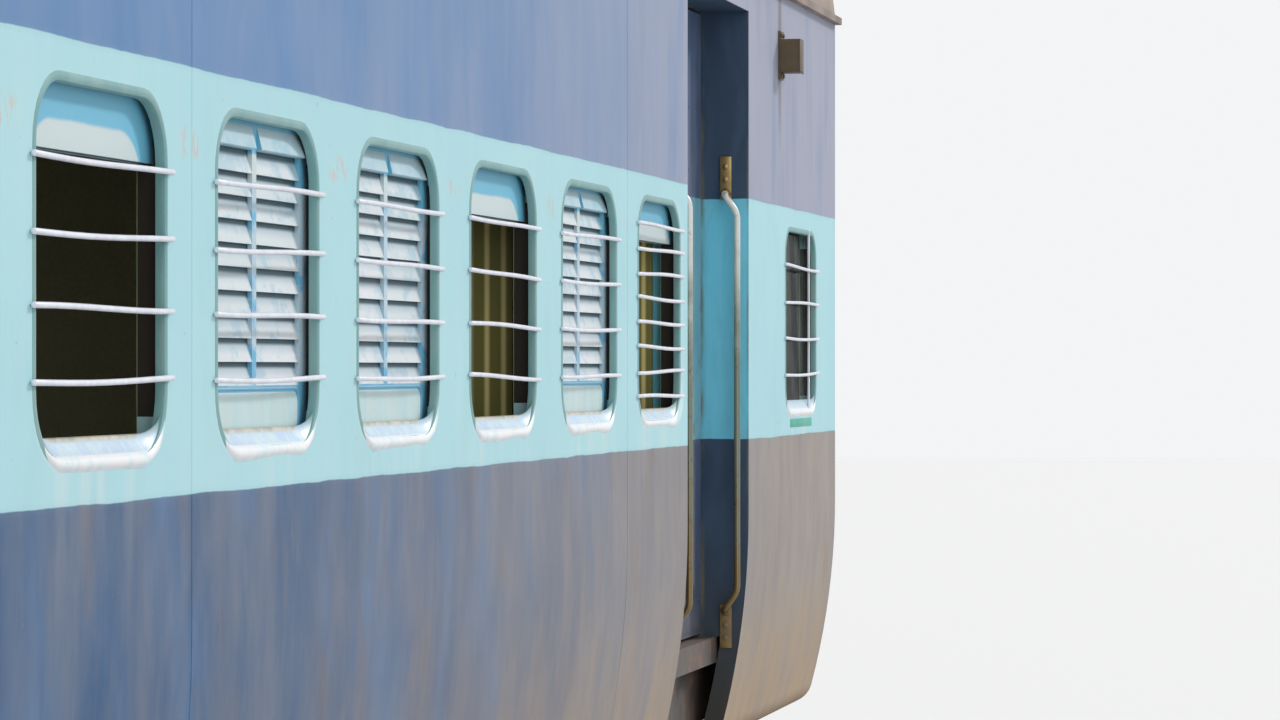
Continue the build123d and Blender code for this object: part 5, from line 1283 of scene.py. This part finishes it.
class BogieSprings(bpy.types.Operator):
    """Coil springs on the axle boxes and under the bolsters"""

    bl_idname = "coach.springs"
    bl_label = "Bogie springs"

    def execute(self, context):
        wire = context.scene.coach_shape.spring_wire
        for label in ("front", "rear"):
            low, high = solid_boxes(f"bogie_{label}_springs")
            middle, radius = (low + high) / 2, (high - low)[:, 0] / 2
            sheets = []
            for centre, reach, foot, head in zip(middle, radius, low[:, 2], high[:, 2]):
                coil = reach - wire
                turns = 5.5 if head - foot > 0.33 else 5.0
                angle = np.linspace(0, 2 * pi * turns, int(turns * 18) + 1)
                share = angle / angle[-1]
                ease = np.clip((share - 0.09) / 0.82, 0, 1)
                z = foot + wire + (head - foot - 2 * wire) * ease
                line = np.stack([centre[0] + coil * np.cos(angle), centre[1] + coil * np.sin(angle), z], -1)
                sheets.append(bar(line, wire, (0, 0, 1), 8))
                guide = reach * 0.42
                post = [(0, 0), (0, guide), (head - foot, guide), (head - foot, 0)]
                sheets.append(turned(post, (centre[0], centre[1], foot), (0, 0, 1), 20))
            made = piece(f"coil_springs_{label}", sheets, f"bogie_{label}", MATERIALS["spring"])
            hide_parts(f"bogie_{label}_springs")
        return {"FINISHED"}


class Wheels(bpy.types.Operator):
    """Turned wheels with a coned tread, a round flange and a dished web"""

    bl_idname = "coach.wheels"
    bl_label = "Wheels"

    def execute(self, context):
        inner, width, tread = 0.8, 0.127, 0.4575
        profile = np.array([
            (-0.015, 0.0925), (-0.015, 0.128), (-0.012, 0.131), (0.020, 0.150), (0.044, 0.210), (0.048, 0.300),
            (0.046, 0.365), (0.030, 0.386), (0.004, 0.389), (0.0, 0.392), (0.0, 0.470), (0.004, 0.480),
            (0.010, 0.4850), (0.016, 0.4858), (0.023, 0.483), (0.029, 0.474), (0.034, 0.4620), (0.042, 0.4590),
            (0.070, tread), (0.118, 0.4555), (0.125, 0.4520), (0.127, 0.448), (0.127, 0.392), (0.124, 0.389),
            (0.100, 0.386), (0.084, 0.365), (0.080, 0.300), (0.084, 0.210), (0.108, 0.150), (0.143, 0.131),
            (0.147, 0.128), (0.147, 0.0925),
        ])
        for label in ("front", "rear"):
            for place in ("inner", "outer"):
                low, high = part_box(f"wheels_{label}_{place}")
                x, z = (low.x + high.x) / 2, (low.z + high.z) / 2
                sheets = [turned(profile + (inner, 0), (x, 0, z), (0, side, 0), 96) for side in SIDES]
                sheets = [(points, True, True) for points, _, _ in sheets]
                name = f"turned_wheels_{label}_{place}"
                made = piece(name, sheets, f"wheelset_{label}_{place}", MATERIALS["wheel"])
                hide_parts(f"wheels_{label}_{place}")
                mark_tread(made, x, z, inner, width)
        return {"FINISHED"}


def mark_tread(made, x, z, inner, width):
    """Stores one on the points of the running surface, between the flange and the outer face."""
    points = np.zeros(len(made.data.vertices) * 3, np.float32)
    made.data.vertices.foreach_get("co", points)
    points = points.reshape(-1, 3)
    radius = np.hypot(points[:, 0] - x, points[:, 2] - z)
    along = np.abs(points[:, 1]) - inner
    on_tread = (radius > 0.4550) & (along > 0.020) & (along < width - 0.005)
    layer = made.data.attributes.new("tread", "FLOAT", "POINT")
    layer.data.foreach_set("value", on_tread.astype(np.float32))


class Bellows(bpy.types.Operator):
    """Pleated canvas sleeves of the gangways"""

    bl_idname = "coach.bellows"
    bl_label = "Gangway bellows"

    def execute(self, context):
        low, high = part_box("gangway_bellows")
        start, end = BODY_HALF, high.x
        half_y, half_z, middle = high.y, (high.z - low.z) / 2, (high.z + low.z) / 2
        folds, depth = 5, 0.055
        share = np.linspace(0, 1, folds * 12 + 1)
        pull = depth * (1 - np.abs(np.sin(pi * folds * share)) ** 0.7)
        x = start + (end - start) * share
        outline, outward = rounded_rectangle((half_y, half_z), 0.07, 5)
        outer = outline[None] - outward[None] * pull[:, None, None]
        inner_outline, _ = rounded_rectangle((half_y - depth - 0.035, half_z - depth - 0.035), 0.02, 5)
        inner = np.broadcast_to(inner_outline[None], (2,) + inner_outline.shape)
        ring = np.concatenate([outer, inner], 0)
        along = np.concatenate([x, [end, start]])
        along = np.broadcast_to(along[:, None], ring.shape[:2])
        points = np.stack([along, ring[..., 0], ring[..., 1] + middle], -1)
        sleeves = [(both_ends(points), True, True)]
        made = piece("pleated_bellows", sleeves, "coach", MATERIALS["canvas"], 50)
        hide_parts("gangway_bellows")
        return {"FINISHED"}


class Fittings(bpy.types.Operator):
    """Flanges and bolts of the lamp brackets, and the blank green strips"""

    bl_idname = "coach.fittings"
    bl_label = "Small fittings"

    def execute(self, context):
        bracket_z = RAIL_Z + 3.14
        left, right = BRACKET_X - 0.036, BRACKET_X + 0.036
        root_y, face_y = SKIN_Y + 0.008, SKIN_Y + 0.0735
        face = plates([
            ((left, SKIN_Y + 0.070, bracket_z - 0.060), (right, face_y, bracket_z + 0.050)),
            ((left, root_y, bracket_z - 0.0565), (right, face_y, bracket_z - 0.052)),
        ], 0.0015)
        head = [(0, 0), (0, 0.008), (0.004, 0.008), (0.006, 0.004), (0.006, 0)]
        heads = [turned(head, (BRACKET_X + across, root_y, bracket_z + up), (0, 1, 0), 10)[0]
                 for across in (-0.018, 0.018) for up in (-0.066, 0.066)]
        sheets = copied(four_corners, face, (np.array(heads), False, True))
        piece("bracket_details", sheets, "coach", MATERIALS["bracket"])
        low = (LAVATORY_X - 0.21, SKIN_Y, RAIL_Z + 1.925)
        strip = plates([(low, (LAVATORY_X + 0.21, SKIN_Y + 0.0012, RAIL_Z + 1.953))], 0.0006)
        piece("blank_strips", copied(four_corners, strip), "coach", MATERIALS["green"])
        return {"FINISHED"}


class Buffers(bpy.types.Operator):
    """Turned buffer casings with collars and bolted flanges, and their polished heads"""

    bl_idname = "coach.buffers"
    bl_label = "Buffers"

    def execute(self, context):
        low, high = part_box("buffer_heads")
        y, z = 0.978, (low.z + high.z) / 2
        start = (BODY_HALF, y, z)
        casing = [(0.022, 0.0), (0.022, 0.128), (0.030, 0.128), (0.034, 0.124), (0.125, 0.106), (0.318, 0.104),
                  (0.322, 0.112), (0.350, 0.112), (0.354, 0.108), (0.355, 0.078), (0.330, 0.076), (0.330, 0.0)]
        flange_x = BODY_HALF + 0.025
        flange = plates([((BODY_HALF + 0.0003, y - 0.165, z - 0.100), (flange_x, y + 0.165, z + 0.100))], 0.005)
        places = [(flange_x, y + across, z + up) for across in (-0.138, 0.138) for up in (-0.072, 0.072)]
        sheets = copied(four_corners, turned(casing, start, (1, 0, 0), 48), flange,
                        bolts_at(places, (1, 0, 0), 0.015, 0.016))
        made = piece("turned_buffer_casings", sheets, "coach", MATERIALS["frame"])
        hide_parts("buffer_casings")
        share = np.linspace(0, 1, 12)
        crown = np.stack([0.454 + 0.026 * (1 - share**2), 0.222 * share], -1)[::-1]
        head = [(0.30, 0.0), (0.30, 0.0735), (0.418, 0.0735), (0.424, 0.100), (0.432, 0.120), (0.434, 0.222),
                (0.438, 0.2275), (0.447, 0.228), (0.452, 0.2255), *crown]
        sheets = copied(four_corners, turned(head, start, (1, 0, 0), 64))
        made = piece("turned_buffer_heads", sheets, "coach", MATERIALS["buffer"])
        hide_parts("buffer_heads")
        return {"FINISHED"}


class TanksAndChutes(bpy.types.Operator):
    """Dished shells over the air tanks, with weld seams and drain cocks, and the cast chutes"""

    bl_idname = "coach.tanks"
    bl_label = "Air tanks and chutes"

    def execute(self, context):
        # x, y, radius and length of each tank
        tanks = ((3.85, 0.75, 0.205, 1.5), (3.85, -0.75, 0.130, 1.25),
                 (-3.85, 0.6, 0.180, 1.25), (-3.85, -0.6, 0.205, 1.5))
        cock = [(0, 0), (0, 0.014), (0.020, 0.014), (0.022, 0.020), (0.034, 0.020), (0.036, 0.012),
                (0.052, 0.012), (0.054, 0)]
        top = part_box("brake_equipment")[1].z - 0.0597
        sheets = []
        for x, y, radius, length in tanks:
            around = radius * 1.0205 + 0.0008
            lean = np.linspace(0, pi / 2, 7)
            dish = np.stack([0.3 * radius * 1.02 * np.sin(lean), around * np.cos(lean)], -1)
            straight = length / 2 - 0.3 * radius
            ends = [(straight + step, wide) for step, wide in dish[1:]]
            half = [(0.0, around), (0.004, around + 0.003), (0.008, around), (straight - 0.004, around),
                    (straight, around + 0.003), (straight + 0.004, around)] + ends
            sheets.append(turned(mirrored(half), (x, y, top - radius), (1, 0, 0), 40))
            sheets.append(turned(cock, (x, y, top - radius - around + 0.006), (0, 0, -1), 10))
        piece("tank_shells", sheets, "coach", MATERIALS["tank"])
        foot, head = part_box("lavatory_chutes")[0].z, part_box("lavatory_chutes")[1].z
        pipe = [(0.28, 0.0), (0.28, 0.066), (0.0, 0.067), (0.0, 0.080), (0.016, 0.081), (0.022, 0.075),
                (0.30, 0.075), (0.304, 0.090), (0.330, 0.090), (0.334, 0.075), (head - foot, 0.075),
                (head - foot, 0.0)]
        sheets = copied(four_corners, turned(pipe, (BODY_HALF - 0.7685, 1.0, foot), (0, 0, 1), 40))
        made = piece("cast_chutes", sheets, "coach", MATERIALS["casting"])
        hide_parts("lavatory_chutes")
        return {"FINISHED"}


class BogieFittings(bpy.types.Operator):
    """Turned axle boxes with bolted covers, spring cups and hanger pins"""

    bl_idname = "coach.bogie_fittings"
    bl_label = "Axle boxes and bogie fittings"

    def execute(self, context):
        casting = [
            (0.985, 0.068), (0.985, 0.138), (0.990, 0.146), (1.000, 0.150), (1.176, 0.150), (1.186, 0.146),
            (1.194, 0.136), (1.195, 0.112), (1.199, 0.106), (1.216, 0.104), (1.224, 0.096), (1.225, 0.060),
            (1.229, 0.052), (1.232, 0.0), (1.152, 0.0), (1.150, 0.068),
        ]
        turn = np.radians([45, 135, 225, 315])
        spring_y, bolt_circle, ear_half = 1.0795, 0.080, 0.107
        for label in ("front", "rear"):
            foot_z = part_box(f"bogie_{label}_axle_boxes")[0].z
            wheels = [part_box(f"wheels_{label}_{place}") for place in ("inner", "outer")]
            z = (wheels[0][0].z + wheels[0][1].z) / 2
            sheets, bolts, blocks = [], [], []
            for low, high in wheels:
                axle = (low.x + high.x) / 2
                for side in SIDES:
                    sheets.append(turned(casting, (axle, 0, z), (0, side, 0), 48))
                    across, up = bolt_circle * np.cos(turn), bolt_circle * np.sin(turn)
                    places = np.stack([axle + across, np.full(4, 1.222 * side), z + up], -1)
                    bolts.append(bolts_at(places, (0, side, 0), 0.013, 0.012)[0])
                    for way in (-1, 1):
                        start, end = sorted((axle + way * 0.12, axle + way * 0.412))
                        blocks.append(((start, side * spring_y - ear_half, foot_z),
                                       (end, side * spring_y + ear_half, foot_z + 0.050)))
            sheets.append(plates(blocks, 0.008))
            name, body = f"cast_axle_boxes_{label}", f"bogie_{label}"
            made = piece(name, sheets, body, MATERIALS["casting"])
            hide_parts(f"bogie_{label}_axle_boxes")
            low_springs, high_springs = solid_boxes(f"bogie_{label}_springs")
            cups = []
            for foot, head in zip(low_springs, high_springs):
                centre, reach = (foot + head) / 2, (head - foot)[0] / 2
                cup = [(0, 0), (0, reach * 1.06), (0.014, reach * 1.06), (0.016, reach * 1.02), (0.016, 0)]
                cups.append(turned(cup, (centre[0], centre[1], foot[2]), (0, 0, 1), 28)[0])
                cups.append(turned(cup, (centre[0], centre[1], head[2]), (0, 0, -1), 28)[0])
            cups = (np.array(cups), False, True)
            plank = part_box(f"bogie_{label}_spring_plank")
            outward = [bolts_at([(x, side * (plank[1].y - 0.001), height)], (0, side, 0), 0.021, 0.020)[0]
                       for x in (plank[0].x + 0.026, plank[1].x - 0.026) for side in SIDES
                       for height in (plank[0].z + 0.045, plank[1].z - 0.060)]
            frame_low, frame_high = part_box(f"bogie_{label}_frame")
            rivets = [bolts_at([(x, side * (frame_high.y - 0.0005), height)], (0, side, 0), 0.009, 0.008)[0]
                      for x in np.linspace(frame_low.x + 0.18, frame_high.x - 0.18, 12) for side in SIDES
                      for height in (frame_low.z + 0.028, frame_high.z - 0.028)]
            sheets = [cups, (np.concatenate(bolts + outward + rivets), False, True)]
            piece(f"bogie_fixings_{label}", sheets, body, MATERIALS["bolt"])
        return {"FINISHED"}


class AxleTurnings(bpy.types.Operator):
    """Axles with smooth journals, shoulders and wheel seats"""

    bl_idname = "coach.axles"
    bl_label = "Axles"

    def execute(self, context):
        half = [(0.0, 0.082), (0.700, 0.082), (0.740, 0.084), (0.764, 0.0925), (0.965, 0.0925), (0.975, 0.068),
                (0.983, 0.060), (1.140, 0.060), (1.145, 0.055), (1.145, 0.0)]
        profile = mirrored(half)
        for label in ("front", "rear"):
            for place in ("inner", "outer"):
                low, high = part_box(f"axle_{label}_{place}")
                x, z = (low.x + high.x) / 2, (low.z + high.z) / 2
                made = piece(f"turned_axle_{label}_{place}", [turned(profile, (x, 0, z), (0, 1, 0), 40)],
                             f"wheelset_{label}_{place}", MATERIALS["axle"])
                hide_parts(f"axle_{label}_{place}")
        return {"FINISHED"}


class DoorTrim(bpy.types.Operator):
    """Window frames, panel beads, kick plates, lock plates and levers of the four doors"""

    bl_idname = "coach.door_trim"
    bl_label = "Door trim"

    def execute(self, context):
        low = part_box("door_front_right")[0]
        start_x, foot_z = low.x, low.z + 0.0097
        hinge_x, face_y = start_x + 0.945, -1.4725
        middle_x = start_x + 0.4725
        window_z = foot_z + 1.35
        rim = [(0.030, -0.001), (0.030, 0.0030), (0.026, 0.0045), (0.006, 0.0055), (0.0, 0.0045), (-0.003, 0.0),
               (-0.003, -0.020), (0.006, -0.020)]
        outline, outward = rounded_rectangle((0.24, 0.35), 0.06, 6)
        window = wall_ring(outline + (middle_x, window_z), outward, rim, face_y)
        outline, outward = rounded_rectangle((0.35, 0.325), 0.012, 3)
        bead = [(-0.004, -0.008), (-0.004, 0.0), (-0.001, 0.0042), (0.006, 0.0048), (0.012, 0.0030),
                (0.013, -0.001)]
        panel = wall_ring(outline + (middle_x, foot_z + 0.475), outward, bead, face_y)
        handle_z = foot_z + 0.914
        kick_y, lock_y = face_y - 0.0022, face_y - 0.0035
        covers = plates([
            ((start_x + 0.012, kick_y, foot_z + 0.012), (hinge_x - 0.012, face_y + 0.001, foot_z + 0.125)),
            ((start_x + 0.040, lock_y, handle_z - 0.085), (start_x + 0.105, face_y + 0.001, handle_z + 0.075)),
        ], 0.0010)
        screws = [(x, kick_y, foot_z + up)
                  for x in np.linspace(start_x + 0.04, hinge_x - 0.04, 7) for up in (0.028, 0.110)]
        screws += [(start_x + 0.050 + across, lock_y, handle_z + up)
                   for across in (0, 0.045) for up in (-0.075, 0.065)]
        screws += [(middle_x + across, face_y - 0.0050, window_z + up)
                   for across in (-0.257, 0.257) for up in (-0.28, -0.09, 0.09, 0.28)]
        heads = bolts_at(screws, (0, -1, 0), 0.0045, 0.0028)
        lock = [(0, 0), (0, 0.017), (0.004, 0.017), (0.006, 0.014), (0.006, 0.006), (0.002, 0.005), (0.002, 0)]
        lock_ring = turned(lock, (start_x + 0.0725, face_y - 0.0033, handle_z - 0.052), (0, -1, 0), 18)
        handle_x = start_x + 0.078
        grip = rounded_route([(handle_x, face_y - 0.003, handle_z), (handle_x, face_y - 0.048, handle_z),
                              (start_x + 0.195, face_y - 0.050, handle_z - 0.004)], 0.016)
        lever = bar(grip, 0.0115, (0, 0, 1), 12)
        frame_sheets = [(window[None], True, True), (panel[None], True, True), covers, heads]
        metal_sheets = [(lock_ring[0][None], False, True), (lever[0][None], False, True)]
        for end, label in ((1, "front"), (-1, "rear")):
            for side, hand in HANDS:
                turn, body = (end, -side, 1), f"leaf_{label}_{hand}"
                trim = [(points * turn, rows, columns) for points, rows, columns in frame_sheets]
                piece(f"door_trim_{label}_{hand}", trim, body, MATERIALS["door"])
                metal = [(points * turn, rows, columns) for points, rows, columns in metal_sheets]
                piece(f"door_lever_{label}_{hand}", metal, body, MATERIALS["brass"])
        return {"FINISHED"}


class Ventilators(bpy.types.Operator):
    """Pressed ventilator hoods on flanged necks, with slots at both ends"""

    bl_idname = "coach.ventilators"
    bl_label = "Roof ventilators"

    def execute(self, context):
        low, high = solid_boxes("roof_ventilators")
        middle = (low + high) / 2
        foot, head = low[:, 2], high[:, 2]
        reach = np.stack([np.full(len(low), 0.200), np.full(len(low), 0.112)], -1)
        hood_low = np.column_stack([middle[:, :2] - reach, foot - 0.01])
        hood_high = np.column_stack([middle[:, :2] + reach, head - 0.020])
        hoods = rounded_blocks(hood_low, hood_high, 0.052, 5, 0.020, 3)
        tray_reach = np.array((0.210, 0.120))
        trays = rounded_blocks(np.column_stack([middle[:, :2] - tray_reach, foot - 0.02]),
                               np.column_stack([middle[:, :2] + tray_reach, foot + 0.030]), 0.006, 2)
        slots, bolts = [], []
        for centre, base in zip(middle, foot):
            for end in ENDS:
                slot_x = centre[0] + end * 0.196
                for step in (0.046, 0.060, 0.074):
                    slots.append(((slot_x - 0.006, centre[1] - 0.052, base + step - 0.0035),
                                  (slot_x + 0.006, centre[1] + 0.052, base + step + 0.0035)))
                for side in SIDES:
                    bolts.append((centre[0] + end * 0.19, centre[1] + side * 0.109, base + 0.029))
        sheets = [hoods, trays, plates(slots, 0.0016, 1), bolts_at(bolts, (0, 0, 1), 0.007, 0.006)]
        made = piece("ventilator_hoods", sheets, "coach", MATERIALS["vent"], 45)
        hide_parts("roof_ventilators")
        return {"FINISHED"}


class BoxFittings(bpy.types.Operator):
    """Hinges, catches, pressed ribs and vents on the battery box lids"""

    bl_idname = "coach.box_fittings"
    bl_label = "Battery box fittings"

    def execute(self, context):
        low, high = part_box("battery_boxes")
        face, foot, head = high.y, low.z + 0.040, high.z - 0.040
        blocks, bolts = [], []
        for x in (0.60, 1.15, 1.85, 2.40):
            blocks.append(((x - 0.045, face - 0.001, head - 0.052), (x + 0.045, face + 0.006, head + 0.012)))
            bolts += [(x + across, face + 0.006, head - 0.036) for across in (-0.028, 0.028)]
        for x in (0.82, 2.18):
            blocks.append(((x - 0.018, face - 0.001, foot - 0.006), (x + 0.018, face + 0.014, foot + 0.070)))
        for row in range(5):
            z = foot + 0.250 + row * 0.030
            blocks.append(((1.32, face - 0.001, z - 0.005), (1.68, face + 0.007, z + 0.007)))
        for start, end in ((0.54, 1.20), (1.80, 2.46)):
            for z in (foot + 0.16, foot + 0.36):
                blocks.append(((start + 0.05, face - 0.001, z - 0.010), (end - 0.05, face + 0.005, z + 0.010)))
        blocks.append(((1.494, face - 0.001, foot + 0.01), (1.506, face + 0.0035, foot + 0.22)))
        grips, grip_z = [], foot + 0.10
        for x in (1.02, 1.98):
            left, right, root_y, grip_y = x - 0.06, x + 0.06, face - 0.002, face + 0.032
            route = [(left, root_y, grip_z), (left, grip_y, grip_z),
                     (right, grip_y, grip_z), (right, root_y, grip_z)]
            grips.append(bar(rounded_route(route, 0.014), 0.006, (0, 0, 1), 8)[0])
        sheets = copied(four_corners, plates(blocks, 0.0022), bolts_at(bolts, (0, 1, 0), 0.008, 0.007),
                        (np.array(grips), False, True))
        piece("battery_box_fittings", sheets, "coach", MATERIALS["bolt"])
        return {"FINISHED"}


class PanelBeads(bpy.types.Operator):
    """Welded seams of the side panels"""

    bl_idname = "coach.beads"
    bl_label = "Panel beads"

    def execute(self, context):
        height = np.linspace(1.0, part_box("side_wall_right")[1].z - 0.012, 40)
        drop = np.maximum(SKIN_TURN_Z - height, 0)
        skin = SKIN_Y - SKIN_TURN_RADIUS + np.sqrt(SKIN_TURN_RADIUS**2 - drop**2)
        places = [WINDOW_PITCH * step for step in (-8, -4, 0, 4, 8)]
        lines = [np.stack([np.full_like(height, x), skin - 0.0006, height], -1) for x in places]
        seams = copied(both_sides, bar(np.array(lines), 0.0016, (1, 0, 0), 6))
        piece("side_seams", seams, "coach", MATERIALS["wall"])
        return {"FINISHED"}


class StageSet(bpy.types.Operator):
    """Floor, sky, lamps and the camera at the photograph's place"""

    bl_idname = "coach.stage"
    bl_label = "Stage"

    def execute(self, context):
        scene, stage = context.scene, context.scene.coach_stage
        side = np.linspace(-90, 90, 3)
        across, along = np.meshgrid(side, side)
        mesh = bpy.data.meshes.new("floor")
        points = np.stack([along, across, np.zeros_like(along)], -1).reshape(-1, 3)
        mesh.from_pydata(points.tolist(), [], grid_faces(3, 3, False, False)[:, ::-1].tolist())
        made = bpy.data.objects.new("floor", mesh)
        scene.collection.objects.link(made)
        paint, tree, shader = new_material("Plain floor", stage.floor)
        finish(shader, stage.floor, 0.9)
        mesh.materials.append(paint)
        world = bpy.data.worlds.new("Soft sky")
        scene.world = world
        world.use_nodes = True
        tree = world.node_tree
        tree.nodes.clear()
        camera_ray, glossy_ray, clear_ray = (
            add(tree, "LightPath", f"Is {kind} Ray") for kind in ("Camera", "Glossy", "Transmission")
        )
        seen = maximum(maximum(camera_ray, glossy_ray), clear_ray)
        soft = add(tree, "Background", 0, {"Color": (0.93, 0.96, 1.0), "Strength": stage.sky})
        plain = add(tree, "Background", 0, {"Color": (0.90, 0.91, 0.92), "Strength": 1.0})
        mixed = add(tree, "MixShader", 0, {0: seen, 1: soft, 2: plain})
        feed(mixed, tree.nodes.new("ShaderNodeOutputWorld").inputs["Surface"])
        for name, strength, spread, aim in (
            ("Key lamp", stage.key, 7.0, (-0.64, 0.56, -0.53)),
            ("Front lamp", stage.front, 50.0, (0.86, 0.42, -0.28)),
            ("Fill lamp", stage.fill, 40.0, (0.55, -0.62, -0.56)),
        ):
            lamp = bpy.data.lights.new(name, "SUN")
            lamp.energy = strength
            lamp.angle = radians(spread)
            holder = bpy.data.objects.new(name, lamp)
            holder.rotation_euler = Vector(aim).to_track_quat("-Z", "Y").to_euler()
            scene.collection.objects.link(holder)
        lens = bpy.data.cameras.new("Photo camera")
        lens.sensor_width = 36.0
        lens.lens = CAMERA_LENS
        lens.clip_start, lens.clip_end = 0.05, 400.0
        camera = bpy.data.objects.new("Photo camera", lens)
        camera.location = CAMERA_PLACE
        turn, lift = radians(CAMERA_TURN), radians(CAMERA_LIFT)
        look = Vector((cos(turn) * cos(lift), sin(turn) * cos(lift), sin(lift)))
        camera.rotation_euler = look.to_track_quat("-Z", "Y").to_euler()
        scene.collection.objects.link(camera)
        scene.camera = camera
        scene.view_settings.view_transform = "Standard"
        return {"FINISHED"}


class CoachPanel(bpy.types.Panel):
    """Lists the coach's settings and steps"""

    bl_label = "Sleeper coach"
    bl_idname = "VIEW3D_PT_sleeper_coach"
    bl_space_type = "VIEW_3D"
    bl_region_type = "UI"
    bl_category = "Coach"

    def draw(self, context):
        layout = self.layout
        for step in STEPS:
            layout.operator(step.bl_idname)
        for group in (context.scene.coach_shape, context.scene.coach_colours, context.scene.coach_stage):
            box = layout.box()
            for name in group.__annotations__:
                box.prop(group, name)


STEPS = (
    StageSet, PaintCoach, WindowBars, WindowEdges, ShutterPanels, Handrails, DoorTrim, BerthCushions,
    BogieSprings, BogieFittings, Wheels, AxleTurnings, Bellows, Buffers, TanksAndChutes, BoxFittings,
    Ventilators, Fittings, PanelBeads,
)
CLASSES = (CoachShape, CoachColours, CoachStage, *STEPS, CoachPanel)


def register():
    """Adds the classes and the settings to Blender."""
    for kind in CLASSES:
        bpy.utils.register_class(kind)
    bpy.types.Scene.coach_shape = PointerProperty(type=CoachShape)
    bpy.types.Scene.coach_colours = PointerProperty(type=CoachColours)
    bpy.types.Scene.coach_stage = PointerProperty(type=CoachStage)


def unregister():
    """Takes the settings and the classes out of Blender."""
    del bpy.types.Scene.coach_shape, bpy.types.Scene.coach_colours, bpy.types.Scene.coach_stage
    for kind in reversed(CLASSES):
        bpy.utils.unregister_class(kind)


def main():
    """Runs every step in order."""
    register()
    for step in STEPS:
        area, name = step.bl_idname.split(".")
        getattr(getattr(bpy.ops, area), name)()


if __name__ == "__main__":
    main()
